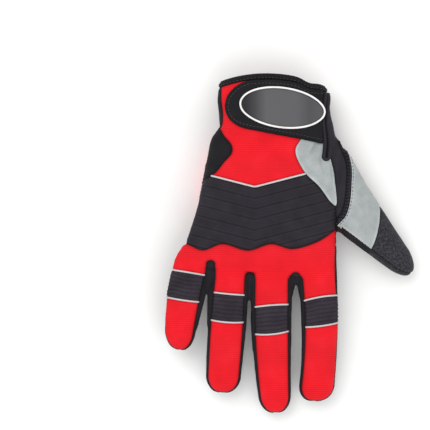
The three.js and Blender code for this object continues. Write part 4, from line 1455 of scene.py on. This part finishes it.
def pipeBands():
    gussetOutlines = [gussetOutline(gusset) for gusset in gussets.values()]
    for name, finger in fingers.items():

        def besideGussets(p):
            clear = np.minimum(backOf(p), bandEdges(finger, p)[2])
            for outline in gussetOutlines:
                clear = np.minimum(clear, -insideOf(outline, p))
            _, along = fingerPlace(finger, p)
            reach = np.minimum(along + piping["aboveBand"], finger["length"] * piping["belowBand"] - along)
            return np.minimum(clear, reach)

        ends = {"upper": lambda p: bandEdges(finger, p)[0], "lower": lambda p: bandEdges(finger, p)[1]}
        for end, fieldOf in ends.items():
            pipingOn(f"{name}_{end}_piping", fieldOf, besideGussets, bands["piping"])


def pipeChevron():
    outlines = [webOutline(), wristSideOutline(), saddleOutline()]

    def besideOthers(p):
        return np.minimum.reduce([backOf(p), *(-insideOf(outline, p) for outline in outlines)])

    pipingOn("chevron_piping", padTop, besideOthers, chevron["pipingWidth"])


pipeBands()
pipeChevron()
say("piping")

# Rows of stitches: how far each lies from the line that it follows
rows = {
    "web": 1.5, "grip": 1.6, "gripEdge": 0.9, "saddle": 1.4,
    "binding": 3.2, "thumb": 1.5, "loop": 2, "tip": 1.6,
}


def stitchesOn(cloth, fieldOf, inset):
    found = sortedLine(cloth, fieldOf(cloth["flat"]) - inset)
    return [] if found is None else [stitchRow(*found)]


def storeStitches(name, grains, thread):
    points, tris = joinedParts([row for row in grains if row is not None])
    storePiece(name, laid(points), tris, thread)


def sewStitches():
    hem = strapOutline()
    hem[hem[:, 0] > strap["hemEnd"] * hand["palmWidth"], 0] += strap["hemPast"]
    grip, tip = panels["thumb_grip_patch"], panels["thumb_tip_back"]

    def gripEdge(points):
        return insideOf(gripOutline(), points)

    grey = stitchesOn(panels["web_patch"], lambda p: insideOf(webOutline(), p), rows["web"])
    grey += stitchesOn(grip, gripEdge, rows["grip"])
    storeStitches("suede_stitching", grey, greyThread)
    black = stitchesOn(panels["thumb_saddle"], lambda p: -gripEdge(p), rows["saddle"])
    black += stitchesOn(grip, gripEdge, rows["gripEdge"])
    black += stitchesOn(strapCloth, lambda p: insideOf(hem, p), strap["hem"])
    black += stitchesOn(panels["cuff_binding"], lambda p: p[:, 1] - cuffLine(p[:, 0]), -rows["binding"])
    black += stitchesOn(tip, lambda p: insideOf(thumbGussetOutline(), p), -rows["thumb"])
    black += stitchesOn(loopCloth, lambda p: insideOf(loopCircle, p), rows["loop"])
    for name, finger in fingers.items():
        black += stitchesOn(panels[f"{name}_tip_palm"], lambda p: bandEdges(finger, p)[1], rows["tip"])
    storeStitches("black_stitching", black, blackThread)


sewStitches()
say("stitching")

# Puck and its hook disc, turned on the Z axis
puck = {
    "radius": 42, "thickness": 14, "edge": 4.5, "chamfer": 1.2, "sides": 144,
    "hookRadius": 39, "hookThickness": 1.2, "hookChamfer": 0.2, "gap": 0.3,
    "lowRings": (1, 12, 24, 33), "topRings": (40.4, 30, 15, 1),
}


def turned(profile):
    angle = np.arange(puck["sides"]) * 2 * math.pi / puck["sides"]
    x, y = np.cos(angle), np.sin(angle)
    return trianglesOf(*loft([np.column_stack([x * r, y * r, np.full(len(x), z)]) for r, z in profile]))


def castPuck():
    radius, top, edge, chamfer = (puck[size] for size in ("radius", "thickness", "edge", "chamfer"))
    lowTurns, topTurns = np.linspace(0, math.pi / 2, 12), np.linspace(0, math.pi / 2, 6)
    lowEdge = [(radius - edge * (1 - math.sin(a)), edge * (1 - math.cos(a))) for a in lowTurns]
    topEdge = [(radius - chamfer * (1 - math.cos(a)), top - chamfer * (1 - math.sin(a))) for a in topTurns]
    lowFace = [(r, 0) for r in (*puck["lowRings"], lowEdge[0][0] - 0.2)]
    points, tris = turned([*lowFace, *lowEdge, *topEdge, *((r, top) for r in puck["topRings"])])
    storePiece("slide_puck_cast", points, tris, urethane, "slide_puck")


def cutHookDisc():
    low = puck["thickness"] + puck["gap"]
    high, radius, chamfer = low + puck["hookThickness"], puck["hookRadius"], puck["hookChamfer"]
    inner = radius - chamfer
    side = [(inner, low), (radius, low + chamfer), (radius, high - chamfer), (inner, high)]
    points, tris = turned([(1, low), *side, (1, high)])
    storePiece("puck_hook_disc_pile", points, tris, hookPile, "puck_hook_disc")


castPuck()
cutHookDisc()
say("puck")

# Floor, light and camera
studio = {
    "floorSize": 6.0, "floor": "#F4F4F3", "floorLight": "#F7F7F6", "sky": 0.88,
    "keyPower": 10.5, "keySize": 1.3, "keyPlace": (-0.55, 0.75, 1.5),
    "fillPower": 6.5, "fillSize": 1.6, "fillPlace": (0.5, -1.0, 1.2),
}
view = {"distance": 1.5, "frame": 0.3096, "centre": (-0.0338, -0.0166), "sensor": 36.0}


def addToScene(name, data):
    thing = bpy.data.objects.new(name, data)
    bpy.context.scene.collection.objects.link(thing)
    return thing


def layFloor():
    half = studio["floorSize"] / 2
    mesh = bpy.data.meshes.new("floor")
    corners = [(x * half, y * half, 0) for x, y in ((-1, -1), (1, -1), (1, 1), (-1, 1))]
    mesh.from_pydata(corners, [], [(0, 1, 2, 3)])
    mesh.materials.append(matPaper(studio["floor"], studio["floorLight"]))
    addToScene("floor", mesh)


def addLight(name):
    data = bpy.data.lights.new(f"{name}Light", "AREA")
    data.shape = "DISK"
    data.size = studio[f"{name}Size"]
    data.energy = studio[f"{name}Power"]
    lamp = addToScene(f"{name}Light", data)
    lamp.location = studio[f"{name}Place"]
    lamp.rotation_euler = (-lamp.location).to_track_quat("-Z", "Y").to_euler()


def addSky():
    world = bpy.data.worlds.new("studio")
    bpy.context.scene.world = world
    world.use_nodes = True
    sky = world.node_tree.nodes["Background"].inputs
    sky["Color"].default_value = (1, 1, 1, 1)
    sky["Strength"].default_value = studio["sky"]


def addCamera():
    data = bpy.data.cameras.new("camera")
    data.sensor_width = view["sensor"]
    data.lens = view["sensor"] * (view["distance"] - lying["seamPlane"] * millimetre) / view["frame"]
    camera = addToScene("camera", data)
    camera.location = (*view["centre"], view["distance"])
    bpy.context.scene.camera = camera


layFloor()
addSky()
addLight("key")
addLight("fill")
bpy.context.scene.view_settings.view_transform = "Standard"
addCamera()
say("light and camera")
